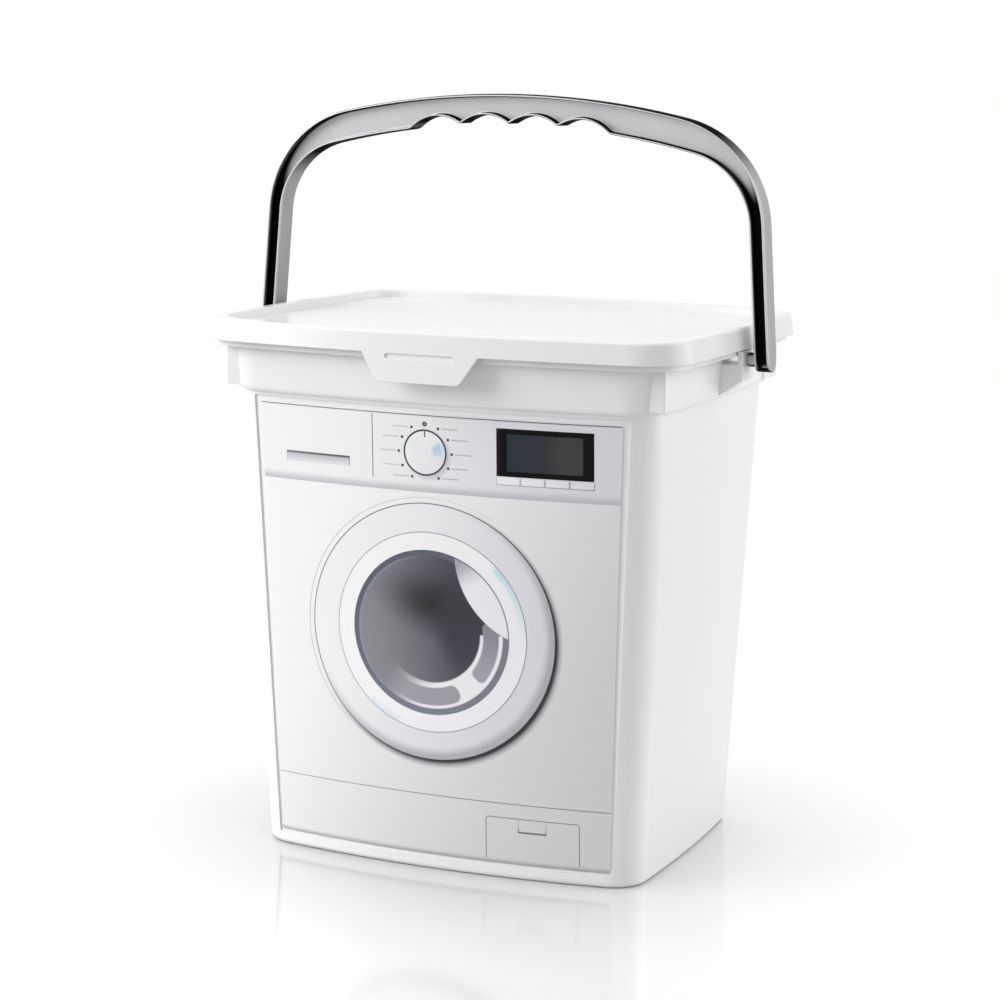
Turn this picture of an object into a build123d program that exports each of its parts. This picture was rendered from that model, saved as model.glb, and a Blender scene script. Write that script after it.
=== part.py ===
from build123d import *
import os
from math import asin, atan, cos, degrees, radians, sin

# Washing powder box: a tapered tub, a lid with a raised rim and a lifting tab, a swing-over
# carrying handle, and a printed film moulded into the front wall.
# The front faces -Y, +Z is up, and the origin is the middle of the base.
# Lengths are millimetres. A "half" size is measured from the middle plane to the corner of a side,
# and a "bow" is how far the middle of that side stands out beyond its corners.

# Tub body
base_half_x = 90.1
base_half_y = 65.8
draft_x_share = 0.035
draft_y_share = 0.060
tub_bow_x = 2.4
tub_bow_y = 9.3
tub_corner = 16.5
wall = 1.8
floor = 2.4
foot_round = 2.5
floor_round = 3.0
foot_ring = 9.0
foot_recess = 0.8

# Collar band, and the rim flange with its hanging edge
rim_top = 234.7
collar_height = 26.5
collar_low = rim_top - collar_height
collar_step = 3.0
collar_round = 2.4
flange_half_x = 107.9
flange_half_y = 86.4
flange_bow_x = 2.2
flange_bow_y = 9.2
flange_corner = 19.7
flange_height = 7.0
flange_low = rim_top - flange_height
flange_wall = 1.5

# Square pads that stand proud of the collar's rounded corners, a step inside the flange
pad_step_x = 5.5
pad_step_y = 7.4
pad_half_x = flange_half_x - pad_step_x
pad_half_y = flange_half_y - pad_step_y
pad_length = 20.0
pad_depth = 12.0
pad_height = 24.5
pad_low = rim_top - pad_height
pad_round = 0.8

# Pivot bosses: a block on the collar, and an outer plate with the socket, clear of the flange
pivot_drop = 9.0
pivot_height = rim_top - pivot_drop
boss_gap = 0.6
boss_plate = 2.4
boss_outer = flange_half_x + flange_bow_x + boss_gap + boss_plate
boss_half_y = 8.0
boss_height = 25.3
boss_low = rim_top - boss_height
boss_step = 1.9
boss_top = pivot_height - boss_step
boss_cover = 4.1
boss_plate_top = pivot_height + boss_cover
boss_round = 1.0
boss_slope = 7.6

# Lid: its skirt hangs a wall outside the flange
lid_rise = 5.3
lid_top = rim_top + lid_rise
lid_overlap = 4.2
lid_skirt_low = rim_top - lid_overlap
lid_wall = 1.8
lid_gap_y = 0.9
lid_top_half_x = flange_half_x + lid_wall
lid_top_half_y = flange_half_y + lid_wall + lid_gap_y
lid_flare = 1.5
lid_corner = flange_corner + 2 * lid_wall
lid_top_round = 1.5
lid_rim_width = 5.8
lid_panel_depth = 3.5
lid_panel_draft = 0.7
lid_rim_round = 0.8
lid_plug_gap = 0.4
lid_plug_wall = 1.4
lid_plug_depth = 5.0

# Lifting tab on the front of the lid, and its slot
tab_half_top = 26.7
tab_half_low = 19.0
tab_drop = 12.0
tab_low = lid_skirt_low - tab_drop
tab_round = 3.0
slot_half_length = 15.7
slot_drop = 2.2
slot_low = lid_skirt_low - slot_drop
slot_height = 2.1
slot_depth = 0.7

# Handle, seen from the front: a crown arc, round shoulders and arms that lean in
handle_rise = 112.3
handle_top = pivot_height + handle_rise
crown_radius = 380.0
shoulder_radius = 50.0
arm_gap = 4.15
arm_width = 5.85
arm_outer_foot = boss_outer + arm_gap + arm_width
arm_lean_share = 0.073
grip_depth = 13.4
grip_under = handle_top - grip_depth
grip_under_radius = 370.0
inner_shoulder_radius = 34.0
handle_depth = 14.0
handle_flange = 1.5
handle_web = 1.8
foot_land = 4.2
foot_rise = 1.2

# Finger grooves, and how much of the grip is left above the inner and the outer pair
groove_radius = 18.6
groove_pitch = 22.8
groove_inner_grip = 9.3
groove_outer_grip = 10.4
groove_inner_top = handle_top - groove_inner_grip
groove_outer_top = handle_top - groove_outer_grip
cusp_round = 1.2

# Pivot pins on the handle
pin_radius = 2.5
pin_clearance = 0.05
pin_gap = 0.3
hub_radius = 3.1
pin_tip_round = 0.6

# Recessed front panel below the collar, and the printed film inside it
panel_low = 5.6
panel_drop = 1.8
panel_high = collar_low - panel_drop
panel_half_low = 80.6
panel_half_high = 88.0
panel_recess = 0.8
film_margin_low = 1.2
film_margin_high = 2.5
film_side_low = 1.3
film_side_high = 3.4
film_low = panel_low + film_margin_low
film_high = panel_high - film_margin_high
film_half_low = panel_half_low - film_side_low
film_half_high = panel_half_high - film_side_high
film_round = 1.0
film_thickness = 0.4
print_thickness = 0.2

# Print: control strip, drawer, dial and display
strip_height = 34.0
strip_low = film_high - strip_height
strip_shade_height = 4.4
divider_x = -28.0
line_width = 0.45
drawer_left = -71.5
drawer_right = -39.2
drawer_low = 178.5
drawer_high = 182.9
dial_x = -2.7
dial_z = 187.2
dial_radius = 10.1
dial_ring = 0.8
tick_length = 2.4
tick_width = 0.7
dot_circle_radius = 12.4
dot_radius = 0.75
dot_count = 12
bar_gap = 1.6
bar_length = 7.5
bar_width = 0.5
display_left = 30.0
display_right = 72.5
display_low = 179.4
display_high = 200.0
screen_margin_x = 4.7
screen_margin_z = 2.3
button_low = 174.9
button_gap = 0.5
button_count = 4

# Print: machine door, foot line, plinth shade and service flap
door_x = -1.6
door_z = 107.8
door_halo_radius = 59.9
door_shadow_radius = 59.4
door_shadow_shift = 1.5
door_radius = 57.5
door_edge = 0.6
bezel_radius = 44.8
bezel_line = 0.4
glass_radius = 36.8
drum_radius = 22.8
lens_radius = 40.1
lens_x = 52.1
lens_z = 37.2
glow_radius = 28.5
glow_width = 10.8
glow_start_angle = -100.0
glow_sweep_angle = 108.0
long_patch_radius = 29.0
long_patch_width = 8.0
long_patch_start_angle = -120.0
long_patch_sweep_angle = 58.0
short_patch_radius = 28.4
short_patch_width = 6.4
short_patch_start_angle = -36.0
short_patch_sweep_angle = 40.0
foot_line_z = 34.3
plinth_height = 2.0
flap_left = 23.8
flap_right = 66.2
flap_high = 28.0
flap_round = 1.6
grip_left = 38.6
grip_right = 51.4
grip_low = 21.4
grip_high = 27.0
grip_side = 0.35
grip_shade = 0.8

# One overrun serves all cuts
over = 20.0

os.makedirs("parts", exist_ok=True)


def bowed_section(half_x, half_y, bow_x, bow_y, corner):
    """A rectangle whose four sides bow outwards, with rounded corners."""
    with BuildSketch() as profile:
        with BuildLine():
            ThreePointArc((half_x, -half_y), (half_x + bow_x, 0), (half_x, half_y))
            ThreePointArc((half_x, half_y), (0, half_y + bow_y), (-half_x, half_y))
            ThreePointArc((-half_x, half_y), (-half_x - bow_x, 0), (-half_x, -half_y))
            ThreePointArc((-half_x, -half_y), (0, -half_y - bow_y), (half_x, -half_y))
        make_face()
        fillet(profile.vertices(), corner)
    return profile.sketch


def stacked(low_section, low, high_section, high):
    """A ruled solid from one section at a height to another above it."""
    with BuildPart() as form:
        with BuildSketch(Plane.XY.offset(low)):
            add(low_section)
        with BuildSketch(Plane.XY.offset(high)):
            add(high_section)
        loft(ruled=True)
    return form.part


def tub_section(height, inset):
    """The tub's outer outline at a height, moved inwards by the inset."""
    half_x = base_half_x + draft_x_share * height - inset
    half_y = base_half_y + draft_y_share * height - inset
    return bowed_section(half_x, half_y, tub_bow_x, tub_bow_y, tub_corner - inset)


def tub_form(low, high, inset):
    """The tapered tub between two heights, moved inwards by the inset."""
    return stacked(tub_section(low, inset), low, tub_section(high, inset), high)


def flange_form(low, high, inset):
    """The rim flange between two heights, moved inwards by the inset."""
    outline = bowed_section(
        flange_half_x - inset, flange_half_y - inset, flange_bow_x, flange_bow_y, flange_corner - inset
    )
    return stacked(outline, low, outline, high)


def lid_section(height, inset):
    """The lid's outline at a height: the skirt flares as it goes down."""
    spread = lid_flare * (lid_top - height) / (lid_top - lid_skirt_low) - inset
    return bowed_section(
        lid_top_half_x + spread, lid_top_half_y + spread, flange_bow_x, flange_bow_y, lid_corner + spread
    )


def lid_form(low, high, inset):
    """The lid's outer form between two heights, moved inwards by the inset."""
    return stacked(lid_section(low, inset), low, lid_section(high, inset), high)


def trapezoid(half_low, low, half_high, high, corner):
    """A symmetrical upright trapezoid with rounded corners, drawn on the front plane."""
    with BuildSketch() as profile:
        with BuildLine():
            Polyline((-half_low, low), (half_low, low), (half_high, high), (-half_high, high), close=True)
        make_face()
        fillet(profile.vertices(), corner)
    return profile.sketch


# Sketches on this plane have x to the right and z up, and are extruded forwards
front = Plane.XZ
front_reach = base_half_y + draft_y_share * rim_top + tub_bow_y + over

# Forms that several pieces share
recess_form = tub_form(-over, collar_low + over, panel_recess)
film_form = tub_form(-over, collar_low + over, panel_recess - film_thickness)
print_form = tub_form(-over, collar_low + over, panel_recess - film_thickness - print_thickness)
collar_wall_x = base_half_x + draft_x_share * boss_low + tub_bow_x + collar_step

with BuildPart() as collar:
    add(tub_form(collar_low, rim_top, -collar_step))
    fillet(collar.faces().sort_by(Axis.Z)[0].edges(), collar_round)

with BuildPart() as cavity:
    add(tub_form(floor, collar_low + wall, wall))
    fillet(cavity.faces().sort_by(Axis.Z)[0].edges(), floor_round)
    add(tub_form(collar_low + wall, rim_top, wall - collar_step))

with BuildPart() as panel_cutter:
    with BuildSketch(front):
        add(trapezoid(panel_half_low, panel_low, panel_half_high, panel_high, film_round))
    extrude(amount=front_reach)
    add(recess_form, mode=Mode.SUBTRACT)

# Pivot bosses, drawn from the front and mirrored to the other side
with BuildPart() as bosses:
    with BuildSketch(Plane.XZ.offset(-boss_half_y)):
        with BuildLine():
            Polyline(
                (collar_wall_x - wall / 2, boss_low),
                (boss_outer, boss_low + boss_slope),
                (boss_outer, boss_plate_top),
                (boss_outer - boss_plate, boss_plate_top),
                (boss_outer - boss_plate, boss_top),
                (collar_wall_x - wall / 2, boss_top),
                close=True,
            )
        make_face()
        mirror(about=Plane.YZ)
    extrude(amount=2 * boss_half_y)
    upright_edges = bosses.edges().filter_by(Axis.Z).sort_by(Axis.X)
    fillet(upright_edges[:2] + upright_edges[-2:], boss_round)

# Tub
with BuildPart() as tub:
    # Rim flange: a flat web with an edge that hangs down all round
    add(flange_form(flange_low, rim_top, 0))
    add(flange_form(flange_low, rim_top - wall, flange_wall), mode=Mode.SUBTRACT)

    # Collar, and the tapered body below it
    add(collar.part)
    add(tub_form(0, collar_low + wall, 0))
    fillet(tub.faces().sort_by(Axis.Z)[0].edges(), foot_round)

    # Pads at the four corners of the collar
    with BuildSketch(Plane.XY.offset(pad_low)):
        with GridLocations(2 * pad_half_x - pad_depth, 2 * pad_half_y - pad_length, 2, 2):
            RectangleRounded(pad_depth, pad_length, pad_round)
    extrude(amount=rim_top - wall - pad_low)
    add(bosses.part)

    # Sockets for the handle's pins, through both plates and a little way into the blocks
    for side in (-1, 1):
        with BuildSketch(Plane.YZ.offset(side * (boss_outer + pin_gap))):
            with Locations((0, pivot_height)):
                Circle(pin_radius + pin_clearance)
        extrude(amount=-side * (boss_plate + 3 * pin_gap), mode=Mode.SUBTRACT)

    # Hollow inside, shallow recess under the base, and the recessed front panel
    add(cavity.part, mode=Mode.SUBTRACT)
    add(tub_form(0, foot_recess, foot_ring), mode=Mode.SUBTRACT)
    add(panel_cutter.part, mode=Mode.SUBTRACT)
tub.part.label = "tub"
export_step(tub.part, "parts/tub.step")

# Lid: the top is sunk inside a raised rim, and the skirt hangs outside the tub's flange
rim_panel_high = lid_top - lid_panel_depth


def lid_plan(inset):
    """The lid's outline at its top, moved inwards by the inset."""
    return bowed_section(
        lid_top_half_x - inset, lid_top_half_y - inset, flange_bow_x, flange_bow_y, lid_corner - inset
    )


with BuildPart() as rim_channel:
    channel_outer = lid_plan(lid_wall)
    channel_inner = lid_plan(lid_rim_width - lid_wall)
    add(stacked(channel_outer, rim_top, channel_outer, lid_top - lid_wall))
    add(stacked(channel_inner, rim_top, channel_inner, lid_top - lid_wall), mode=Mode.SUBTRACT)

with BuildPart() as plug:
    plug_outer = wall - collar_step + lid_plug_gap
    add(tub_form(rim_top - lid_plug_depth, rim_top, plug_outer))
    add(tub_form(rim_top - lid_plug_depth, rim_top, plug_outer + lid_plug_wall), mode=Mode.SUBTRACT)

# The lid's form goes down to the tab's lower edge, and all but the tab is cut off below the skirt
tab_spread = (tab_half_top - tab_half_low) * (rim_top - tab_low) / (lid_skirt_low - tab_low)
with BuildPart() as skirt_cutter:
    with BuildSketch(Plane.XY.offset(tab_low - over)):
        Rectangle(4 * lid_top_half_x, 4 * lid_top_half_x)
    extrude(amount=over + lid_skirt_low - tab_low)
    with BuildSketch(front):
        add(trapezoid(tab_half_low, tab_low, tab_half_low + tab_spread, rim_top, tab_round))
    extrude(amount=front_reach, mode=Mode.SUBTRACT)

with BuildPart() as tab_slot:
    with BuildSketch(front):
        with Locations((0, slot_low + slot_height / 2)):
            SlotOverall(2 * slot_half_length, slot_height)
    extrude(amount=front_reach)
    add(lid_form(tab_low, rim_top, slot_depth), mode=Mode.SUBTRACT)

with BuildPart() as lid:
    add(lid_form(tab_low, lid_top, 0))
    fillet(lid.faces().sort_by(Axis.Z)[-1].edges(), lid_top_round)
    sunk_low = lid_plan(lid_rim_width + lid_panel_draft)
    sunk_high = lid_plan(lid_rim_width)
    add(stacked(sunk_low, rim_panel_high, sunk_high, lid_top), mode=Mode.SUBTRACT)
    fillet(lid.faces().filter_by(Axis.Z).sort_by(Axis.Z)[-1].inner_wires().edges(), lid_rim_round)
    add(lid_form(tab_low, rim_top, lid_wall), mode=Mode.SUBTRACT)
    add(rim_channel.part, mode=Mode.SUBTRACT)
    add(skirt_cutter.part, mode=Mode.SUBTRACT)
    add(tab_slot.part, mode=Mode.SUBTRACT)
    add(plug.part)
lid.part.label = "lid"
export_step(lid.part, "parts/lid.step")

# Handle: a crown arc runs into a shoulder arc, and that into a straight arm that leans in
lean = atan(arm_lean_share)
foot_centre = pivot_height + foot_rise
foot_z = foot_centre - handle_depth / 2


def crown_turn(top, radius, shoulder, foot_x):
    """The angle in degrees that the crown turns through before its shoulder arc starts.

    The shoulder's circle touches the crown's from inside and has the arm's line as a tangent, so
    its centre is a shoulder radius from that line and the difference of the radii from the crown's
    centre.
    """
    line_distance = (foot_x + arm_lean_share * pivot_height) * cos(lean)
    rise = line_distance - shoulder - (top - radius) * sin(lean)
    return degrees(asin(rise / (radius - shoulder)) - lean)


def arm_x(foot_x, height):
    """Where an arm's edge lies at a height, from its place at the pivot."""
    return foot_x - arm_lean_share * (height - pivot_height)


arm_inner_foot = arm_outer_foot - arm_width
outer_turn = crown_turn(handle_top, crown_radius, shoulder_radius, arm_outer_foot)
inner_turn = crown_turn(grip_under, grip_under_radius, inner_shoulder_radius, arm_inner_foot)
full_turn = 90 - degrees(lean)

with BuildSketch() as handle_outline:
    with BuildLine():
        crown = JernArc((0, handle_top), (1, 0), crown_radius, -outer_turn)
        shoulder = JernArc(crown @ 1, crown % 1, shoulder_radius, outer_turn - full_turn)
        arm = Line(shoulder @ 1, (arm_x(arm_outer_foot, foot_z), foot_z))
        under = JernArc((0, grip_under), (1, 0), grip_under_radius, -inner_turn)
        inner_shoulder = JernArc(under @ 1, under % 1, inner_shoulder_radius, inner_turn - full_turn)
        inner_arm = Line(inner_shoulder @ 1, (arm_x(arm_inner_foot, foot_z), foot_z))
        Line(arm @ 1, inner_arm @ 1)
        Line((0, handle_top), (0, grip_under))
    make_face()
    mirror(about=Plane.YZ)
    # Four finger grooves: the inner pair is a little deeper than the outer pair
    for side in (-1, 1):
        with Locations((side * groove_pitch / 2, groove_inner_top - groove_radius)):
            Circle(groove_radius, mode=Mode.SUBTRACT)
        with Locations((side * 3 * groove_pitch / 2, groove_outer_top - groove_radius)):
            Circle(groove_radius, mode=Mode.SUBTRACT)
    cusps = handle_outline.vertices().filter_by(
        lambda v: abs(v.X) < 5 * groove_pitch / 2 and v.Y < handle_top - handle_flange
    )
    fillet(cusps, cusp_round)

with BuildSketch() as handle_pocket:
    add(handle_outline.sketch)
    offset(amount=-handle_flange, mode=Mode.REPLACE)
    with Locations((0, pivot_height + foot_land - over / 2)):
        Rectangle(2 * arm_outer_foot, over, mode=Mode.SUBTRACT)

with BuildPart() as handle:
    with BuildSketch(front):
        add(handle_outline.sketch)
    extrude(amount=handle_depth / 2, both=True)
    # Rounded feet, seen from the side
    with BuildSketch(Plane.YZ):
        with Locations((0, foot_centre)):
            Circle(handle_depth / 2)
        with Locations((0, (foot_centre + handle_top + over) / 2)):
            Rectangle(handle_depth, handle_top + over - foot_centre)
    extrude(amount=arm_outer_foot + over, both=True, mode=Mode.INTERSECT)
    # Channels in the front and the back, which leave a web between two flanges
    for side in (-1, 1):
        with BuildSketch(front.offset(side * handle_web / 2)):
            add(handle_pocket.sketch)
        extrude(amount=side * handle_depth, mode=Mode.SUBTRACT)
    # Hub and pin on the inside of each foot
    for side in (-1, 1):
        with BuildSketch(Plane.YZ.offset(side * (boss_outer + pin_gap))):
            with Locations((0, pivot_height)):
                Circle(hub_radius)
        extrude(amount=side * (arm_outer_foot - arm_width / 2 - boss_outer - pin_gap))
        with BuildSketch(Plane.YZ.offset(side * (boss_outer - boss_plate - pin_gap))):
            with Locations((0, pivot_height)):
                Circle(pin_radius)
        extrude(amount=side * (boss_plate + 3 * pin_gap))
    pin_tips = handle.faces().filter_by(Axis.X).filter_by(lambda f: abs(f.center().X) < boss_outer)
    chamfer(pin_tips.edges().filter_by(lambda e: abs(e.center().X) < boss_outer - boss_plate), pin_tip_round)
handle.part.label = "handle"
export_step(handle.part, "parts/handle.step")

# Printed film in the recess of the front wall
with BuildPart() as front_label:
    with BuildSketch(front):
        add(trapezoid(film_half_low, film_low, film_half_high, film_high, film_round))
    extrude(amount=front_reach)
    add(film_form, mode=Mode.INTERSECT)
    add(recess_form, mode=Mode.SUBTRACT)
front_label.part.label = "front_label"
export_step(front_label.part, "parts/front_label.step")


# The print is drawn flat, as fields of one colour each, and laid on the film
def film_half(height):
    """Half the film's width at a height."""
    share = (height - film_low) / (film_high - film_low)
    return film_half_low + share * (film_half_high - film_half_low)


def band(low, high, margin):
    """A band across the film between two heights, a margin inside its edges."""
    return trapezoid(film_half(low) - margin, low, film_half(high) - margin, high, line_width / 3)


def ring(outer, inner):
    """A ring about the middle of the door."""
    with BuildSketch() as shape:
        with Locations((door_x, door_z)):
            Circle(outer)
            Circle(inner, mode=Mode.SUBTRACT)
    return shape.sketch


def door_patch(radius, width, start, sweep):
    """A curved patch with round ends, about the middle of the door."""
    with BuildSketch() as shape:
        SlotArc(CenterArc((door_x, door_z), radius, start, sweep), width)
    return shape.sketch


def panel_box(left, right, low, high):
    """A plain rectangle on the film."""
    with BuildSketch() as shape:
        with Locations(((left + right) / 2, (low + high) / 2)):
            Rectangle(right - left, high - low)
    return shape.sketch


prints = {}
prints["print_strip_shade"] = band(strip_low, strip_low + strip_shade_height, line_width)
plinth_high = film_low + plinth_height
prints["print_plinth_shade"] = band(film_low, plinth_high, line_width)

# Service flap: the left, top and right of a frame, with round upper corners, above the plinth shade
flap_x = (flap_left + flap_right) / 2
flap_width = flap_right - flap_left
flap_height = flap_high - plinth_high
with BuildSketch() as flap_frame:
    with Locations((flap_x, plinth_high)):
        RectangleRounded(flap_width, 2 * flap_height, flap_round)
        RectangleRounded(
            flap_width - 2 * line_width,
            2 * (flap_height - line_width),
            flap_round - line_width,
            mode=Mode.SUBTRACT,
        )
    with Locations((flap_x, plinth_high - flap_height / 2)):
        Rectangle(flap_width, flap_height, mode=Mode.SUBTRACT)

with BuildSketch() as lines:
    divider_low = strip_low + strip_shade_height + line_width
    divider_high = film_high - 3 * line_width
    with Locations((divider_x, (divider_low + divider_high) / 2)):
        Rectangle(line_width, divider_high - divider_low)
    add(band(film_high - 2 * line_width, film_high - line_width, line_width))
    add(band(foot_line_z - line_width / 2, foot_line_z + line_width / 2, line_width))
    add(panel_box(drawer_left, drawer_right, drawer_high - 2 * line_width, drawer_high))
    add(ring(door_halo_radius + line_width, door_halo_radius))
    add(ring(bezel_radius, bezel_radius - bezel_line))
    # The flap, and its grip: two thin side lines that stand on a bar
    add(flap_frame.sketch)
    add(panel_box(grip_left, grip_left + grip_side, grip_low, grip_high))
    add(panel_box(grip_right - grip_side, grip_right, grip_low, grip_high))
    add(panel_box(grip_left, grip_right, grip_low, grip_low + grip_shade))
prints["print_lines"] = lines.sketch

prints["print_drawer"] = panel_box(drawer_left, drawer_right, drawer_low, drawer_high - 2 * line_width)

with BuildSketch() as tick:
    with Locations((dial_x, dial_z + dial_radius - dial_ring - tick_length)):
        Rectangle(tick_width, tick_length)
with BuildSketch() as dial_ring_field:
    with Locations((dial_x, dial_z)):
        Circle(dial_radius)
        Circle(dial_radius - dial_ring, mode=Mode.SUBTRACT)
prints["print_dial_ring"] = dial_ring_field.sketch
with BuildSketch() as dial_face:
    with Locations((dial_x, dial_z)):
        Circle(dial_radius - dial_ring)
    add(tick.sketch, mode=Mode.SUBTRACT)
prints["print_dial_face"] = dial_face.sketch

# A dot at each hour but the lowest, and a plain bar beside each dot on the left and right
with BuildSketch() as marks:
    add(tick.sketch)
    for hour in range(dot_count):
        angle = 360 / dot_count * hour
        if angle != 270:
            with Locations((dial_x, dial_z)):
                with PolarLocations(dot_circle_radius, 1, start_angle=angle):
                    Circle(dot_radius)
    for hour in (-2, -1, 0, 1, 2):
        turn = radians(360 / dot_count * hour)
        height = dial_z + dot_circle_radius * sin(turn)
        reach = dot_circle_radius * cos(turn) + bar_gap + bar_length / 2
        with Locations((dial_x - reach, height), (dial_x + reach, height)):
            Rectangle(bar_length, bar_width)
prints["print_dial_marks"] = marks.sketch

screen = panel_box(
    display_left + screen_margin_x,
    display_right - screen_margin_x,
    display_low + screen_margin_z,
    display_high - screen_margin_z,
)
with BuildSketch() as display_frame:
    add(panel_box(display_left, display_right, display_low, display_high))
    add(screen, mode=Mode.SUBTRACT)
prints["print_display_frame"] = display_frame.sketch
prints["print_display_screen"] = screen

button_pitch = (display_right - display_left + button_gap) / button_count
with BuildSketch() as buttons:
    for index in range(button_count):
        left = display_left + index * button_pitch
        add(panel_box(left, left + button_pitch - button_gap, button_low, display_low - button_gap))
prints["print_buttons"] = buttons.sketch

with BuildSketch() as door_shadow:
    with Locations((door_x + door_shadow_shift / 2, door_z - door_shadow_shift)):
        Circle(door_shadow_radius)
    with Locations((door_x, door_z)):
        Circle(door_radius, mode=Mode.SUBTRACT)
    add(ring(door_halo_radius + door_shadow_shift + over, door_halo_radius), mode=Mode.SUBTRACT)
prints["print_door_shadow"] = door_shadow.sketch
prints["print_door_edge"] = ring(door_radius, door_radius - door_edge)
prints["print_door_ring"] = ring(door_radius - door_edge, bezel_radius)
prints["print_door_bezel"] = ring(bezel_radius - bezel_line, glass_radius)

with BuildSketch() as lens:
    with Locations((door_x, door_z)):
        Circle(glass_radius)
    with Locations((door_x + lens_x, door_z + lens_z)):
        Circle(lens_radius, mode=Mode.INTERSECT)
prints["print_door_lens"] = lens.sketch

long_patch = door_patch(
    long_patch_radius, long_patch_width, long_patch_start_angle, long_patch_sweep_angle
)
short_patch = door_patch(
    short_patch_radius, short_patch_width, short_patch_start_angle, short_patch_sweep_angle
)
with BuildSketch() as glow:
    add(door_patch(glow_radius, glow_width, glow_start_angle, glow_sweep_angle))
    add(long_patch, mode=Mode.SUBTRACT)
    add(short_patch, mode=Mode.SUBTRACT)
    add(lens.sketch, mode=Mode.SUBTRACT)
prints["print_door_glow"] = glow.sketch

with BuildSketch() as drum:
    with Locations((door_x, door_z)):
        Circle(drum_radius)
    add(lens.sketch, mode=Mode.SUBTRACT)
    add(glow.sketch, mode=Mode.SUBTRACT)
prints["print_door_drum"] = drum.sketch

with BuildSketch() as glass:
    with Locations((door_x, door_z)):
        Circle(glass_radius)
        Circle(drum_radius, mode=Mode.SUBTRACT)
    add(lens.sketch, mode=Mode.SUBTRACT)
    add(glow.sketch, mode=Mode.SUBTRACT)
prints["print_door_glass"] = glass.sketch

with BuildPart() as print_layer:
    with BuildSketch(front):
        add(trapezoid(film_half_low, film_low, film_half_high, film_high, film_round))
    extrude(amount=front_reach)
    add(print_form, mode=Mode.INTERSECT)
    add(film_form, mode=Mode.SUBTRACT)

for name, shape in prints.items():
    with BuildPart() as field:
        with BuildSketch(front):
            add(shape)
        extrude(amount=front_reach)
        add(print_layer.part, mode=Mode.INTERSECT)
    field.part.label = name
    export_step(field.part, "parts/" + name + ".step")
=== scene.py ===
"""Washing powder box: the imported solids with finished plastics, and a printed front film.

Lengths of the box's pieces are in millimetres and are turned to metres when a mesh is made. The
studio's are in metres. The front of the box faces -Y, and +Z is up.
"""

import logging
import math
from collections.abc import Callable, Sequence
from dataclasses import dataclass, field
from enum import Enum

import bpy
import numpy as np
from mathutils import Matrix, Vector


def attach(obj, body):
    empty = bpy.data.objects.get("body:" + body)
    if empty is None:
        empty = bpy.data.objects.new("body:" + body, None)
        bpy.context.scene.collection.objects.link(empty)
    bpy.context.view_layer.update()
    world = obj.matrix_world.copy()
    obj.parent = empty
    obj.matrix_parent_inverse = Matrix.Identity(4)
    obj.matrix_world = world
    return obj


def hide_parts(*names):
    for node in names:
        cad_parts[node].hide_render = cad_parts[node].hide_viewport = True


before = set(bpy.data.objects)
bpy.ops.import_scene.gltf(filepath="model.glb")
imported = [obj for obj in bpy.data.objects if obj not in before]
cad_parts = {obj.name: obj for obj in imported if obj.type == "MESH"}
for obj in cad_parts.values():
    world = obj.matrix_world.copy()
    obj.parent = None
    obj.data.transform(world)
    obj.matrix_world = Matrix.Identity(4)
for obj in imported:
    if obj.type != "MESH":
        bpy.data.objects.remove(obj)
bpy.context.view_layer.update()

LOG = logging.getLogger("powder_box")
MM = 0.001


class Body(Enum):
    """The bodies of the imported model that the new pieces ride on."""

    TUB = "tub"
    HANDLE = "handle"


class Slot(Enum):
    """The record's material slots that the new pieces are listed with; no piece is given one."""

    FILM = "label_film"
    PALE = "print_pale_grey"
    LINE = "print_line_grey"
    DARK = "print_dark_grey"
    WHITE = "print_white"
    BLACK = "print_black"
    SCREEN = "print_screen_grey"
    SILVER = "print_silver_grey"
    SLATE = "print_slate_grey"
    HANDLE = "handle_plastic"


Tree = bpy.types.NodeTree
Socket = bpy.types.NodeSocket
Piece = bpy.types.Object
Pair = tuple[float, float]
Colour = tuple[float, float, float, float]
Arrays = tuple[np.ndarray, np.ndarray]
Measure = Callable[[np.ndarray, np.ndarray], np.ndarray]

WHITE: Colour = (1.0, 1.0, 1.0, 1.0)
POLYPROPYLENE_IOR = 1.49


def linear_colour(code: str) -> Colour:
    """Turns an sRGB hex colour into Blender's linear colour.

    Args:
        code: A colour such as "#D6D6D6".

    Returns:
        Linear red, green, blue and an alpha of 1.
    """
    shares = [int(code[i : i + 2], 16) / 255 for i in (1, 3, 5)]
    red, green, blue = (c / 12.92 if c <= 0.04045 else ((c + 0.055) / 1.055) ** 2.4 for c in shares)
    return red, green, blue, 1.0


def add_node(
    tree: Tree,
    kind: str,
    settings: dict[str, object] | None = None,
    inputs: dict[str | int, object] | None = None,
) -> bpy.types.Node:
    """Adds a shader node, sets it up and links what feeds it.

    Args:
        tree: The node tree that gets the node.
        kind: The node's type without its "ShaderNode" prefix.
        settings: Properties of the node itself.
        inputs: Socket names or numbers, each with a value or with a socket to link from.

    Returns:
        The new node.
    """
    node = tree.nodes.new("ShaderNode" + kind)
    for name, value in (settings or {}).items():
        setattr(node, name, value)
    for key, value in (inputs or {}).items():
        if isinstance(value, Socket):
            tree.links.new(value, node.inputs[key])
        else:
            node.inputs[key].default_value = value
    return node


def map_range(
    tree: Tree, value: Socket, span: Pair = (0.0, 1.0), to: Pair = (0.0, 1.0), smooth: bool = False
) -> Socket:
    """Carries a value from one span to another, and holds it past the ends.

    Args:
        tree: The material's node tree.
        value: The value's socket.
        span: The values that become the first and the last of to.
        to: What they become.
        smooth: Whether it eases in and out instead of running straight.

    Returns:
        The new value's socket.
    """
    kind = "SMOOTHSTEP" if smooth else "LINEAR"
    ends = {"From Min": span[0], "From Max": span[1], "To Min": to[0], "To Max": to[1]}
    return add_node(tree, "MapRange", {"interpolation_type": kind}, {"Value": value, **ends}).outputs[0]


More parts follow.
